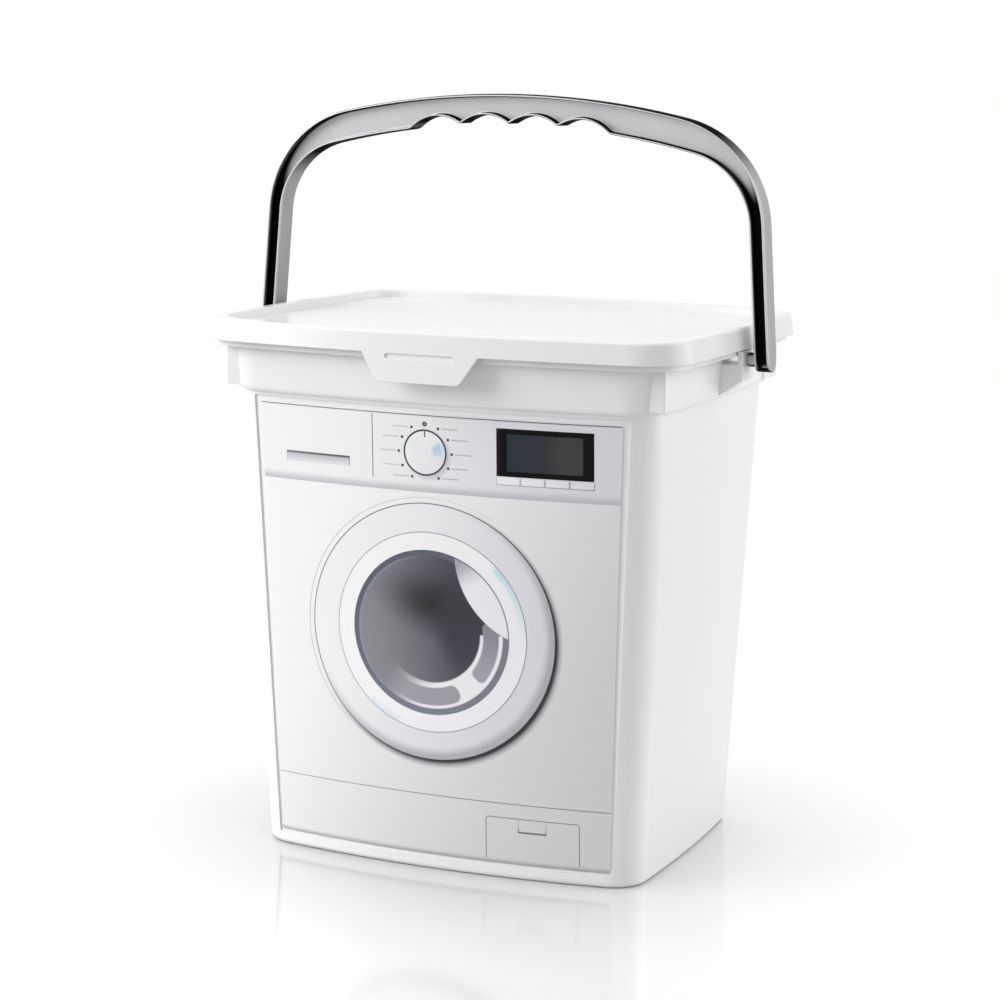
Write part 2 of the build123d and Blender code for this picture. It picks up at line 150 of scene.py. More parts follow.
def mix_colours(
    tree: Tree, share: Socket | float, first: Socket | Colour, last: Socket | Colour, kind: str = "MIX"
) -> Socket:
    """Lays the last colour over the first one, as strongly as the share says.

    Args:
        tree: The material's node tree.
        share: 0 for the first colour and 1 for the last.
        first: The colour below.
        last: The colour on top.
        kind: How the two are blended.

    Returns:
        The colour's socket.
    """
    settings = {"data_type": "RGBA", "blend_type": kind}
    return add_node(tree, "Mix", settings, {0: share, 6: first, 7: last}).outputs[2]


def calculate(tree: Tree, operation: str, *terms: Socket | float) -> Socket:
    """Does one sum on its terms, such as MULTIPLY, and gives the result's socket."""
    return add_node(tree, "Math", {"operation": operation}, dict(enumerate(terms))).outputs[0]


def noise(tree: Tree, place: Socket, size: float, detail: float) -> Socket:
    """Noise whose features are about size millimetres across, as a socket."""
    inputs = {"Vector": place, "Scale": 1 / (size * MM), "Detail": detail}
    return add_node(tree, "TexNoise", inputs=inputs).outputs["Fac"]


def stored_value(tree: Tree, name: str) -> Socket:
    """The value that the mesh's points carry under a name, as a socket."""
    return add_node(tree, "Attribute", {"attribute_name": name}).outputs["Fac"]


def new_material(name: str) -> tuple[bpy.types.Material, Tree, bpy.types.Node]:
    """Makes a node material and gives it with its node tree and its Principled node."""
    material = bpy.data.materials.new(name)
    material.use_nodes = True
    tree = material.node_tree
    return material, tree, tree.nodes["Principled BSDF"]


@dataclass(frozen=True)
class MouldedPlastic:
    """Injection moulded polypropylene: glossy, with a tone and a polish that vary a little."""

    name: str
    base: str
    shade: str
    roughness: float
    roughness_spread: float = 0.02
    metallic: float = 0.0
    gloss: float = 0.5
    mottle: float = 45.0
    ripple: float = 16.0
    edge: float = 0.45
    edge_samples: int = 8
    # Painted shade: a dark colour for narrow channels, another for faces that look up or down, and a grey
    # that multiplies faces that look sideways
    channel_shade: str | None = None
    channel_shade_span: Pair = (0.44, 0.56)
    up_down_shade: str = "#242424"
    up_down_shade_span: Pair = (0.4, 0.85)
    side_shade: str = "#D4D4D4"
    side_shade_span: Pair = (0.5, 1.0)

    def material(self) -> bpy.types.Material:
        """Builds the plastic's material on Object coordinates.

        Returns:
            The finished material.
        """
        material, tree, shader = new_material(self.name)
        place = add_node(tree, "TexCoord").outputs["Object"]
        mottle = noise(tree, place, self.mottle, 3.0)
        ripple = noise(tree, place, self.ripple, 4.0)
        span = (self.roughness - self.roughness_spread, self.roughness + self.roughness_spread)
        colour = mix_colours(tree, mottle, linear_colour(self.base), linear_colour(self.shade))
        # Paints shade into narrow channels and onto faces that look up, down or sideways
        if self.channel_shade:
            colour = self.paint_shade(tree, shader, colour)
        tree.links.new(colour, shader.inputs["Base Color"])
        tree.links.new(map_range(tree, ripple, to=span), shader.inputs["Roughness"])
        if self.edge:
            settings = {"samples": self.edge_samples}
            rounded = add_node(tree, "Bevel", settings, {"Radius": self.edge * MM})
            tree.links.new(rounded.outputs[0], shader.inputs["Normal"])
        shader.inputs["Metallic"].default_value = self.metallic
        shader.inputs["IOR"].default_value = POLYPROPYLENE_IOR
        return material

    def paint_shade(self, tree: Tree, shader: bpy.types.Node, colour: Socket) -> Socket:
        """Darkens the plastic inside channels, and on faces that look up, down or sideways.

        This darkening is painted shade. Narrow channels hold little light, and less than the few
        bounces of a render give, so the open_share that the mesh carries darkens them. Faces that look
        up get a painted dark reflection and faces that look down a painted shade, and both lose their
        gloss. Faces that look sideways get a lighter painted shade.

        Args:
            tree: The material's node tree.
            shader: The material's Principled node.
            colour: The plastic's own colour.

        Returns:
            The darkened colour's socket.
        """
        normal = add_node(tree, "NewGeometry").outputs["Normal"]
        facing = add_node(tree, "SeparateXYZ", inputs={0: normal})
        level = calculate(tree, "ABSOLUTE", facing.outputs["Z"])
        sideways = calculate(tree, "ABSOLUTE", facing.outputs["X"])
        lit = map_range(tree, stored_value(tree, "open_share"), self.channel_shade_span, smooth=True)
        flat = map_range(tree, level, self.up_down_shade_span, smooth=True)
        turned = map_range(tree, sideways, self.side_shade_span, smooth=True)
        # Painted shade in channels, a painted dark reflection on faces that look up, and painted shade on
        # faces that look down or sideways
        deep = mix_colours(tree, lit, linear_colour(self.channel_shade), colour)
        dim = mix_colours(tree, flat, deep, linear_colour(self.up_down_shade))
        side_shade = mix_colours(tree, turned, WHITE, linear_colour(self.side_shade))
        shaded = mix_colours(tree, 1.0, dim, side_shade, "MULTIPLY")
        gloss = map_range(tree, flat, to=(self.gloss, 0.0))
        tree.links.new(shaded, shader.inputs["Specular Tint"])
        tree.links.new(gloss, shader.inputs["Specular IOR Level"])
        return shaded


# The tub's white polypropylene, bright and clean
TUB_PLASTIC = MouldedPlastic("white_polypropylene", "#F9F9F9", "#F6F6F7", roughness=0.22)
# The lid's white polypropylene, a little greyer than the tub's
LID_PLASTIC = MouldedPlastic("white_polypropylene_lid", "#F0F0F0", "#EDEDEE", roughness=0.24)
# Silver pigmented polypropylene: a cool grey that shines softly, like satin metal, with painted
# shade in its channels and on faces that look sideways, and a painted dark reflection on faces
# that look up or down
HANDLE_PLASTIC = MouldedPlastic(
    "silver_pigmented_polypropylene",
    "#D2D2D4",
    "#CBCBCD",
    roughness=0.33,
    roughness_spread=0.05,
    metallic=0.4,
    ripple=11.0,
    edge=0.0,
    channel_shade="#121212",
)


@dataclass(frozen=True)
class Fade:
    """An ink that runs evenly from one tone to another between two points of the print."""

    first: str
    last: str
    start: Pair = (-80.0, 0.0)
    end: Pair = (80.0, 0.0)

    def along(self, tree: Tree, place: Socket) -> Socket:
        """How far a point is along the fade: ((p - start) . (end - start)) / |end - start|^2.

        Args:
            tree: The material's node tree.
            place: The socket with the Object coordinates.

        Returns:
            A socket that runs smoothly from 0 at the start to 1 at the end.
        """
        run_x, run_z = self.end[0] - self.start[0], self.end[1] - self.start[1]
        length = (run_x**2 + run_z**2) * MM
        start = (self.start[0] * MM, 0.0, self.start[1] * MM)
        run = (run_x / length, 0.0, run_z / length)
        away = add_node(tree, "VectorMath", {"operation": "SUBTRACT"}, {0: place, 1: start})
        dot = add_node(tree, "VectorMath", {"operation": "DOT_PRODUCT"}, {0: away.outputs[0], 1: run})
        return map_range(tree, dot.outputs["Value"], smooth=True)

    def colour(self, tree: Tree, place: Socket) -> Socket:
        """The ink's colour at each point, as a socket."""
        return mix_colours(
            tree, self.along(tree, place), linear_colour(self.first), linear_colour(self.last)
        )


@dataclass(frozen=True)
class InkLayer:
    """An ink laid where a distance stored on the mesh is below zero.

    The distance is in millimetres, and the ink's edge is softness wide. The strength runs from
    the first value to the second between the fade's start and end.
    """

    distance: str
    ink: Fade
    softness: float = 0.25
    strength: Pair = (1.0, 1.0)


@dataclass(frozen=True)
class PrintedFilm:
    """Ink under a clear, smooth polypropylene film: even tones with a low, broad gloss."""

    name: str
    ground: Fade
    layers: tuple[InkLayer, ...] = ()
    roughness: float = 0.3
    gloss: float = 0.5
    ripple: float = 22.0
    ripple_depth: float = 0.012

    def material(self) -> bpy.types.Material:
        """Builds the film's material, one ink over the other.

        Returns:
            The finished material.
        """
        material, tree, shader = new_material(self.name)
        place = add_node(tree, "TexCoord").outputs["Object"]
        colour = self.ground.colour(tree, place)
        for layer in self.layers:
            edge = (layer.softness / 2, -layer.softness / 2)
            cover = map_range(tree, stored_value(tree, layer.distance), edge, smooth=True)
            strength = map_range(tree, layer.ink.along(tree, place), to=layer.strength)
            share = calculate(tree, "MULTIPLY", cover, strength)
            colour = mix_colours(tree, share, colour, layer.ink.colour(tree, place))
        height = noise(tree, place, self.ripple, 1.0)
        bump = add_node(tree, "Bump", inputs={"Height": height, "Distance": self.ripple_depth * MM})
        tree.links.new(colour, shader.inputs["Base Color"])
        tree.links.new(bump.outputs[0], shader.inputs["Normal"])
        shader.inputs["Specular IOR Level"].default_value = self.gloss
        shader.inputs["Roughness"].default_value = self.roughness
        shader.inputs["IOR"].default_value = POLYPROPYLENE_IOR
        return material


@dataclass(frozen=True)
class FrontWall:
    """The tub's front wall at the film: it leans outwards and bows.

    At height z and inset i the wall's corner is at half_x = base_half_x + draft_x z - i and
    half_y = base_half_y + draft_y z - i, and its middle stands out by the bow. The arc through
    those has the radius R = (half_x^2 + bow^2) / (2 bow), so that
    y(x) = -(half_y + bow - (R - sqrt(R^2 - x^2))).
    """

    base_half_x: float = 90.1
    base_half_y: float = 65.8
    draft_x: float = 0.035
    draft_y: float = 0.060
    bow: float = 9.3
    film_inset: float = 0.4

    def points(self, x: np.ndarray, z: np.ndarray, proud: float) -> np.ndarray:
        """Places points of the print on the wall.

        Args:
            x: Positions to the right, in millimetres.
            z: Heights, in millimetres.
            proud: How far the points stand off the film's face, in millimetres.

        Returns:
            An array of points in metres, with one more axis than x.
        """
        inset = self.film_inset - proud
        half_x = self.base_half_x + self.draft_x * z - inset
        half_y = self.base_half_y + self.draft_y * z - inset
        radius = (half_x**2 + self.bow**2) / (2 * self.bow)
        y = -(half_y + self.bow - (radius - np.sqrt(radius**2 - x**2)))
        return np.stack([x, y, z], axis=-1) * MM


@dataclass(frozen=True)
class Grid:
    """A patch of the print: positions x and z on a grid of rows and columns, in millimetres.

    Seen from the front, the turn from the way that columns run to the way that rows run is
    anticlockwise, so that the faces look forwards. A closed grid joins its last row to its first.
    """

    x: np.ndarray
    z: np.ndarray
    closed: bool = False

    def quads(self) -> np.ndarray:
        """The grid's faces, as four corner numbers each."""
        rows, columns = self.x.shape
        number = np.arange(rows * columns).reshape(rows, columns)
        if self.closed:
            number = np.vstack([number, number[:1]])
        corners = (number[:-1, :-1], number[:-1, 1:], number[1:, 1:], number[1:, :-1])
        return np.stack(corners, axis=-1).reshape(-1, 4)


def box_grid(left: float, right: float, low: float, high: float, step: float = 3.0) -> Grid:
    """A rectangle: x = left + u (right - left), z = low + v (high - low).

    Args:
        left: Left side.
        right: Right side.
        low: Lower side.
        high: Upper side.
        step: The largest size of a cell.

    Returns:
        The rectangle's grid.
    """
    columns = max(2, math.ceil((right - left) / step) + 1)
    rows = max(2, math.ceil((high - low) / step) + 1)
    x, z = np.meshgrid(np.linspace(left, right, columns), np.linspace(low, high, rows))
    return Grid(x, z)


def disc_grid(centre: Pair, radius: float, cells: int) -> Grid:
    """A disc without a pole: x = R u sqrt(1 - v^2 / 2), z = R v sqrt(1 - u^2 / 2), u and v in -1..1.

    Args:
        centre: Middle of the disc.
        radius: Its radius.
        cells: Cells across.

    Returns:
        The disc's grid.
    """
    u, v = np.meshgrid(np.linspace(-1, 1, cells + 1), np.linspace(-1, 1, cells + 1))
    x = centre[0] + radius * u * np.sqrt(1 - v**2 / 2)
    z = centre[1] + radius * v * np.sqrt(1 - u**2 / 2)
    return Grid(x, z)


def ring_grid(centre: Pair, inner: float, outer: float, turns: int, bands: int) -> Grid:
    """A ring: x = r cos a, z = r sin a, with r from inner to outer and a once round.

    Args:
        centre: Middle of the ring.
        inner: Inner radius.
        outer: Outer radius.
        turns: Cells round the ring.
        bands: Cells across it.

    Returns:
        The ring's grid, closed.
    """
    angle = np.linspace(0, 2 * np.pi, turns, endpoint=False)
    radius = np.linspace(inner, outer, bands + 1)
    r, a = np.meshgrid(radius, angle)
    return Grid(centre[0] + r * np.cos(a), centre[1] + r * np.sin(a), closed=True)


def frame_grid(left: float, right: float, low: float, high: float, corner: float, width: float) -> Grid:
    """Three sides of a frame, up the left side, along the top and down the right.

    The path's corners are arcs, and each point of it is carried inwards by up to the width:
    p(s, t) = centre line(s) + t width n(s), where n is the inward normal.

    Args:
        left: Outer left side.
        right: Outer right side.
        low: Where both upright sides start.
        high: Outer upper side.
        corner: Outer corner radius.
        width: Width of the line.

    Returns:
        The line's grid.
    """
    arc_points, side_points, top_points = 9, 7, 14
    turn = np.linspace(0, np.pi / 2, arc_points)
    side = np.linspace(low, high - corner, side_points + 1)
    top = np.linspace(left + corner, right - corner, top_points + 2)[1:-1]
    x = np.concatenate(
        [
            np.full(side_points, left),
            left + corner - corner * np.cos(turn),
            top,
            right - corner + corner * np.sin(turn),
            np.full(side_points, right),
        ]
    )
    z = np.concatenate(
        [
            side[:-1],
            high - corner + corner * np.sin(turn),
            np.full(top_points, high),
            high - corner + corner * np.cos(turn),
            side[-2::-1],
        ]
    )
    upright, level = np.ones(side_points), np.ones(top_points)
    normal_x = np.concatenate([upright, np.cos(turn), 0 * level, -np.sin(turn), -upright])
    normal_z = np.concatenate([0 * upright, -np.sin(turn), -level, -np.cos(turn), 0 * upright])
    across = np.array([0.0, width])
    return Grid(x[:, None] + normal_x[:, None] * across, z[:, None] + normal_z[:, None] * across)


def circle_distance(centre: Pair, radius: float) -> Measure:
    """The distance to a circle, |p - centre| - radius, below zero inside it."""
    return lambda x, z: np.hypot(x - centre[0], z - centre[1]) - radius


def ellipse_distance(centre: Pair, half: Pair, tilt: float) -> Measure:
    """About the distance to an ellipse: (|q| - 1) times its smaller half axis.

    Here q is the point turned into the ellipse's axes and divided by its half axes.

    Args:
        centre: Middle of the ellipse.
        half: Its half axes.
        tilt: The long axis's angle in degrees.

    Returns:
        A function of x and z.
    """
    cos, sin = math.cos(math.radians(tilt)), math.sin(math.radians(tilt))

    def measure(x: np.ndarray, z: np.ndarray) -> np.ndarray:
        """The distance at each point."""
        along = (x - centre[0]) * cos + (z - centre[1]) * sin
        across = (z - centre[1]) * cos - (x - centre[0]) * sin
        return (np.hypot(along / half[0], across / half[1]) - 1) * min(half)

    return measure


def arc_distance(centre: Pair, radii: Pair, angles: Pair, corner: float) -> Measure:
    """The distance to a bent bar between two radii and two angles, with rounded corners.

    Unrolled, the bar is a box whose width is r and whose length is a times the middle radius, and
    the distance is the rounded box's: |max(d, 0)| + min(max(d), 0) - corner.

    Args:
        centre: Middle of the arc.
        radii: Inner and outer radius.
        angles: First and last angle in degrees, from +x towards +z.
        corner: Corner radius.

    Returns:
        A function of x and z.
    """
    middle, half = (radii[0] + radii[1]) / 2, (radii[1] - radii[0]) / 2
    first, last = math.radians(angles[0]), math.radians(angles[1])
    aim, reach = (first + last) / 2, (last - first) / 2 * middle

    def measure(x: np.ndarray, z: np.ndarray) -> np.ndarray:
        """The distance at each point."""
        turn = np.arctan2(z - centre[1], x - centre[0]) - aim
        turn = (turn + np.pi) % (2 * np.pi) - np.pi
        over_r = np.abs(np.hypot(x - centre[0], z - centre[1]) - middle) - half + corner
        over_a = np.abs(turn) * middle - reach + corner
        outside = np.hypot(np.maximum(over_r, 0), np.maximum(over_a, 0))
        return outside + np.minimum(np.maximum(over_r, over_a), 0) - corner

    return measure


def height_distance(edge: float, above: bool) -> Measure:
    """The distance to a level line, below zero above it or below it."""
    return lambda x, z: (edge - z) if above else (z - edge)


@dataclass
class PrintPress:
    """Lays printed pieces on the film as thin closed sheets."""

    wall: FrontWall = field(default_factory=FrontWall)
    sheet: float = 0.03

    def lay(
        self,
        name: str,
        grids: Sequence[Grid],
        finish: PrintedFilm,
        slot: Slot,
        nodes: Sequence[str],
        proud: float,
        measures: dict[str, Measure] | None = None,
        thickness: float | None = None,
    ) -> Piece:
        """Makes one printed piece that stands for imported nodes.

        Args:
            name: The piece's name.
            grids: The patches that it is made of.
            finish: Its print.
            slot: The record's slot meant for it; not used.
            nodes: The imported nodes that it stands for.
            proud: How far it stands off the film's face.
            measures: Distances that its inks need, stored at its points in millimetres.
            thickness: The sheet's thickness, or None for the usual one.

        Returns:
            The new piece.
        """
        points, quads, start = [], [], 0
        for grid in grids:
            points.append(self.wall.points(grid.x, grid.z, proud).reshape(-1, 3))
            quads.append(grid.quads() + start)
            start += grid.x.size
        mesh = bpy.data.meshes.new(name)
        mesh.from_pydata(np.vstack(points).tolist(), [], np.vstack(quads).tolist())
        mesh.polygons.foreach_set("use_smooth", np.ones(len(mesh.polygons), dtype=bool))
        users = np.empty(len(mesh.loops), dtype=np.int32)
        mesh.loops.foreach_get("edge_index", users)
        rim = np.bincount(users, minlength=len(mesh.edges)) == 1
        mesh.attributes.new("sharp_edge", "BOOLEAN", "EDGE").data.foreach_set("value", rim)
        flat_x = np.concatenate([grid.x.ravel() for grid in grids])
        flat_z = np.concatenate([grid.z.ravel() for grid in grids])
        for label, measure in (measures or {}).items():
            data = mesh.attributes.new(label, "FLOAT", "POINT").data
            data.foreach_set("value", measure(flat_x, flat_z).astype(np.float32))
        piece = bpy.data.objects.new(name, mesh)
        bpy.context.scene.collection.objects.link(piece)
        wall = piece.modifiers.new("thickness", "SOLIDIFY")
        wall.thickness = (self.sheet if thickness is None else thickness) * MM
        wall.offset = -1.0
        mesh.materials.append(finish.material())
        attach(piece, Body.TUB.value)
        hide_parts(*nodes)
        LOG.info("printed %s: %d faces", name, len(mesh.polygons))
        return piece


@dataclass(frozen=True)
class PrintPlan:
    """Where the film's edges, its divider and the middles of its round pictures are."""

    low: float = 6.8
    high: float = 203.9
    half_low: float = 79.3
    half_high: float = 84.6
    divider_x: float = -28.0
    divider: Pair = (174.75, 202.55)
    door: Pair = (-1.6, 107.8)
    dial: Pair = (-2.7, 187.2)

    def half(self, height: float | np.ndarray) -> float | np.ndarray:
        """Half the film's width: half_low + (z - low) / (high - low) (half_high - half_low)."""
        share = (height - self.low) / (self.high - self.low)
        return self.half_low + share * (self.half_high - self.half_low)


PLAN = PrintPlan()


def beside(middle: Pair, x: float, z: float) -> Pair:
    """A point of the print, from its place relative to the middle of a picture."""
    return middle[0] + x, middle[1] + z


@dataclass
class FrontFilm:
    """The film in the tub's front recess, with the soft fields of its print."""

    press: PrintPress
    corner: float = 1.0
    corner_shares: tuple[float, ...] = (0.0, 0.15, 0.4, 1.0)
    rows: int = 100
    columns: int = 86
    thickness: float = 0.38
    strip_low: float = 169.9
    strip_shade: float = 4.6
    plinth: float = 2.6
    door_shadow: tuple[float, float, float] = (1.3, -1.6, 58.1)
    door_core: tuple[float, float, float] = (1.3, -1.2, 57.1)
    dial_shadow: tuple[float, float, float] = (1.4, -1.2, 10.4)

    def outline(self) -> Grid:
        """The film's grid: each row is as wide as the film at its height.

        Within a corner radius r of the lower and upper edge, at a distance d from it, a row is
        narrower by r - sqrt(r^2 - (r - d)^2) at each end.

        Returns:
            The grid.
        """
        near = np.array(self.corner_shares) * self.corner
        inner = np.linspace(PLAN.low + self.corner, PLAN.high - self.corner, self.rows)[1:-1]
        height = np.concatenate([PLAN.low + near, inner, (PLAN.high - near)[::-1]])
        edge = np.minimum(height - PLAN.low, PLAN.high - height)
        missing = np.maximum(self.corner - edge, 0)
        half = PLAN.half(height) - (self.corner - np.sqrt(self.corner**2 - missing**2))
        u = np.linspace(-1, 1, self.columns)
        return Grid(half[:, None] * u, np.repeat(height[:, None], u.size, axis=1))

    def build(self) -> Piece:
        """Makes the film, with its control strip, the plinth's shade and the pictures' shadows."""
        strip, shade, plinth = self.strip_low, self.strip_shade, PLAN.low + self.plinth
        measures = {
            "strip": height_distance(strip, above=True),
            "strip_shade": lambda x, z: np.abs(z - strip - shade / 2) - shade / 2,
            "plinth": height_distance(plinth, above=False),
        }
        for name, middle, (x, z, radius) in (
            ("door_shadow", PLAN.door, self.door_shadow),
            ("door_core", PLAN.door, self.door_core),
            ("dial_shadow", PLAN.dial, self.dial_shadow),
        ):
            measures[name] = circle_distance(beside(middle, x, z), radius)
        turn = (beside(PLAN.door, -30, 30), beside(PLAN.door, 10, 0))
        strip_run = ((0, strip + shade), (0, strip))
        plinth_run = ((0, plinth), (0, PLAN.low))
        layers = (
            InkLayer("door_shadow", Fade("#3A383D", "#3A383D", *turn), 3.6, (0.0, 0.75)),
            InkLayer("door_core", Fade("#131215", "#131215", *turn), 1.6, (0.0, 1.0)),
            InkLayer("strip", Fade("#FBFBFC", "#E6E5EC", (-50, 0), (80, 0)), 0.12),
            InkLayer("strip_shade", Fade("#BCBCC4", "#BCBCC4", *strip_run), 0.1, (0.0, 0.8)),
            InkLayer("dial_shadow", Fade("#CFC6CF", "#CFC6CF"), 2.4, (0.7, 0.7)),
            InkLayer("plinth", Fade("#ABABAD", "#ABABAD", *plinth_run), 0.1, (0.0, 1.0)),
        )
        ground = Fade("#FFFFFF", "#DDDDDF", (-75, 160), (80, 40))
        finish = PrintedFilm("printed_polypropylene_film", ground, layers)
        nodes = ("front_label", "print_strip_shade", "print_plinth_shade", "print_door_shadow")
        grid = self.outline()
        return self.press.lay("front_film", [grid], finish, Slot.FILM, nodes, 0.0, measures, self.thickness)


@dataclass
class ControlStrip:
    """The print's control strip: drawer, dial with its marks, and display with its buttons."""

    press: PrintPress
    drawer: tuple[float, float, float, float] = (-71.5, -39.2, 178.5, 182.9)
    drawer_lip: float = 0.9
    drawer_end: float = 0.35
    dial_radius: float = 10.1
    dial_ring: float = 0.8
    wedge: tuple[Pair, Pair, float] = ((3.6, 8.4), (-12.0, 34.0), 1.4)
    glint: tuple[Pair, Pair, float] = ((-4.5, 4.0), (2.6, 1.6), 40.0)
    tick: Pair = (0.5, 2.6)
    dot_circle: float = 12.4
    dot_radius: float = 0.6
    open_dot: Pair = (0.35, 1.05)
    open_dot_hour: int = 3
    missing_hour: int = 9
    bar: tuple[float, float, float] = (1.6, 7.5, 0.45)
    bar_hours: tuple[int, ...] = (-2, -1, 0, 1, 2)
    display: tuple[float, float, float, float] = (30.0, 72.5, 179.4, 200.0)
    black_reach: float = 2.5
    screen_margin: Pair = (4.7, 2.3)
    gleam: tuple[float, float, float, float] = (5.0, 10.3, 8.0, 13.0)
    button_low: float = 175.8
    button_gap: float = 0.5
    button_line: Pair = (0.1, 0.25)
    button_line_low: float = 0.2
    button_inset: float = 0.12
    button_count: int = 4
    low_proud: float = 0.05
    high_proud: float = 0.08
    screen_proud: float = 0.09
    dot_proud: float = 0.11
    seam: float = 0.02

    def build(self) -> list[Piece]:
        """Makes the strip's pieces."""
        pieces = [self.make_drawer()]
        for make in (self.make_dial, self.make_marks, self.make_display, self.make_buttons):
            pieces += make()
        return pieces

    def make_drawer(self) -> Piece:
        """The drawer's grip: a shade that fades downwards from a dark line."""
        left, right, low, high = self.drawer
        measures = {
            "lip": height_distance(high - self.drawer_lip, above=True),
            "left_end": lambda x, z: x - left - self.drawer_end,
            "right_end": lambda x, z: right - self.drawer_end - x,
        }
        layers = (
            InkLayer("left_end", Fade("#A8A8AC", "#A8A8AC"), 0.6, (0.7, 0.7)),
            InkLayer("right_end", Fade("#8F8F94", "#8F8F94"), 0.5, (0.9, 0.9)),
            InkLayer("lip", Fade("#77777B", "#55555A", (left, high), (right, high)), 0.7),
        )
        finish = PrintedFilm("drawer_print", Fade("#E9E9EC", "#BFBFC4", (0, low), (0, high)), layers)
        grid = box_grid(left, right, low, high, 0.55)
        nodes = ["print_drawer"]
        return self.press.lay("drawer_grip", [grid], finish, Slot.PALE, nodes, self.low_proud, measures)

    def make_dial(self) -> list[Piece]:
        """The dial's ring, and its face with a pale blue glint."""
        middle, proud = PLAN.dial, self.high_proud
        inner = self.dial_radius - self.dial_ring
        dark = Fade("#3B3B43", "#4A4750", beside(middle, -8, 0), beside(middle, 8, -6))
        finish = PrintedFilm("dial_ring_print", dark)
        grid = ring_grid(middle, inner, self.dial_radius, 96, 2)
        ring = self.press.lay("dial_ring", [grid], finish, Slot.DARK, ["print_dial_ring"], proud)
        shift, half, tilt = self.glint
        measures = {
            "wedge": arc_distance(middle, *self.wedge),
            "glint": ellipse_distance(beside(middle, *shift), half, tilt),
        }
        blue = Fade("#9FD4EE", "#C8E6F4", beside(middle, 4, 4), beside(middle, 8, -3))
        layers = (
            InkLayer("glint", Fade("#E9F5FA", "#E9F5FA"), 2.4, (0.6, 0.6)),
            InkLayer("wedge", blue, 2.6, (0.95, 0.6)),
        )
        ground = Fade("#FCFCFD", "#F3F1F5", beside(middle, -6, 6), beside(middle, 7, -7))
        finish = PrintedFilm("dial_face_print", ground, layers)
        grid = disc_grid(middle, inner + self.seam, 48)
        nodes = ["print_dial_face"]
        face = self.press.lay("dial_face", [grid], finish, Slot.WHITE, nodes, proud, measures)
        return [ring, face]

    def make_marks(self) -> list[Piece]:
        """The dial's tick and the dots round it, one of them open, and the bars beside the dots."""
        x, z = PLAN.dial
        width, length = self.tick
        inner = self.dial_radius - self.dial_ring
        grids = [box_grid(x - width / 2, x + width / 2, z + inner - length, z + inner, 0.4)]
        for hour in range(12):
            angle = math.radians(30 * hour)
            middle = beside(PLAN.dial, self.dot_circle * math.cos(angle), self.dot_circle * math.sin(angle))
            if hour == self.open_dot_hour:
                grids.append(ring_grid(middle, *self.open_dot, 24, 1))
            elif hour != self.missing_hour:
                grids.append(disc_grid(middle, self.dot_radius, 8))
        nodes = ["print_dial_marks"]
        finish = PrintedFilm("dial_dot_print", Fade("#3A3A41", "#4A4A52", (x - 14, z), (x + 14, z)))
        dark = self.press.lay("dial_dots", grids, finish, Slot.DARK, nodes, self.dot_proud)
        gap, length, width = self.bar
        bars = []
        for hour in self.bar_hours:
            angle = math.radians(30 * hour)
            height = z + self.dot_circle * math.sin(angle)
            reach = self.dot_circle * math.cos(angle) + gap
            bars.append(box_grid(x + reach, x + reach + length, height - width / 2, height + width / 2))
            bars.append(box_grid(x - reach - length, x - reach, height - width / 2, height + width / 2))
        finish = PrintedFilm("dial_bar_print", Fade("#CFCFD4", "#BDBDC4", (x - 20, z), (x + 20, z)))
        pale = self.press.lay("dial_bars", bars, finish, Slot.LINE, nodes, self.low_proud)
        return [dark, pale]

    def make_display(self) -> list[Piece]:
        """The display's glossy black frame and its screen, with a gleam."""
        left, right, low, high = self.display
        margin_x, margin_z = self.screen_margin
        inside = (left + margin_x, right - margin_x, low + margin_z, high - margin_z)
        black = Fade("#1C1622", "#020202", (left, low), (left + self.black_reach, low))
        finish = PrintedFilm("display_frame_print", black, roughness=0.16, gloss=0.12)
        grid = box_grid(left, right, low, high)
        nodes = ["print_display_frame"]
        edge = self.press.lay("display_frame", [grid], finish, Slot.BLACK, nodes, self.low_proud)
        from_right, up, half_x, half_z = self.gleam
        middle = (inside[1] - from_right, low + up)
        measures = {"gleam": ellipse_distance(middle, (half_x, half_z), 0.0)}
        layers = (InkLayer("gleam", Fade("#454340", "#454340"), 10.0, (0.7, 0.7)),)
        grey = Fade("#1E2C39", "#313234", (inside[0], low), (inside[1], low + 6))
        finish = PrintedFilm("display_screen_print", grey, layers, roughness=0.14, gloss=0.25)
        grid = box_grid(*inside, 1.2)
        nodes = ["print_display_screen"]
        proud = self.screen_proud
        screen = self.press.lay("display_screen", [grid], finish, Slot.SCREEN, nodes, proud, measures)
        return [edge, screen]

    def make_buttons(self) -> list[Piece]:
        """The row of buttons under the display, as outlines with white caps on them."""
        left, right, low, _ = self.display
        pitch = (right - left + self.button_gap) / self.button_count
        starts = [left + pitch * index for index in range(self.button_count)]
        foot, top = self.button_low, low - self.button_gap
        before, after = self.button_line
        inset = self.button_inset
        line_low = foot - self.button_line_low
        lines = [box_grid(s - before, s + pitch - self.button_gap + after, line_low, top) for s in starts]
        caps = [box_grid(s + inset, s + pitch - self.button_gap, foot + inset, top) for s in starts]
        line_ink = Fade("#A9A9AE", "#8E8E94", (left, 0), (right, 0))
        cap_ink = Fade("#FDFDFE", "#ECECF0", (left, foot + 4), (right, foot))
        nodes = ["print_buttons"]
        return [
            self.press.lay(name, grids, PrintedFilm(finish, ink), slot, nodes, proud)
            for name, grids, finish, ink, slot, proud in (
                ("button_outlines", lines, "button_outline_print", line_ink, Slot.LINE, self.low_proud),
                ("buttons", caps, "button_print", cap_ink, Slot.WHITE, self.high_proud),
            )
        ]


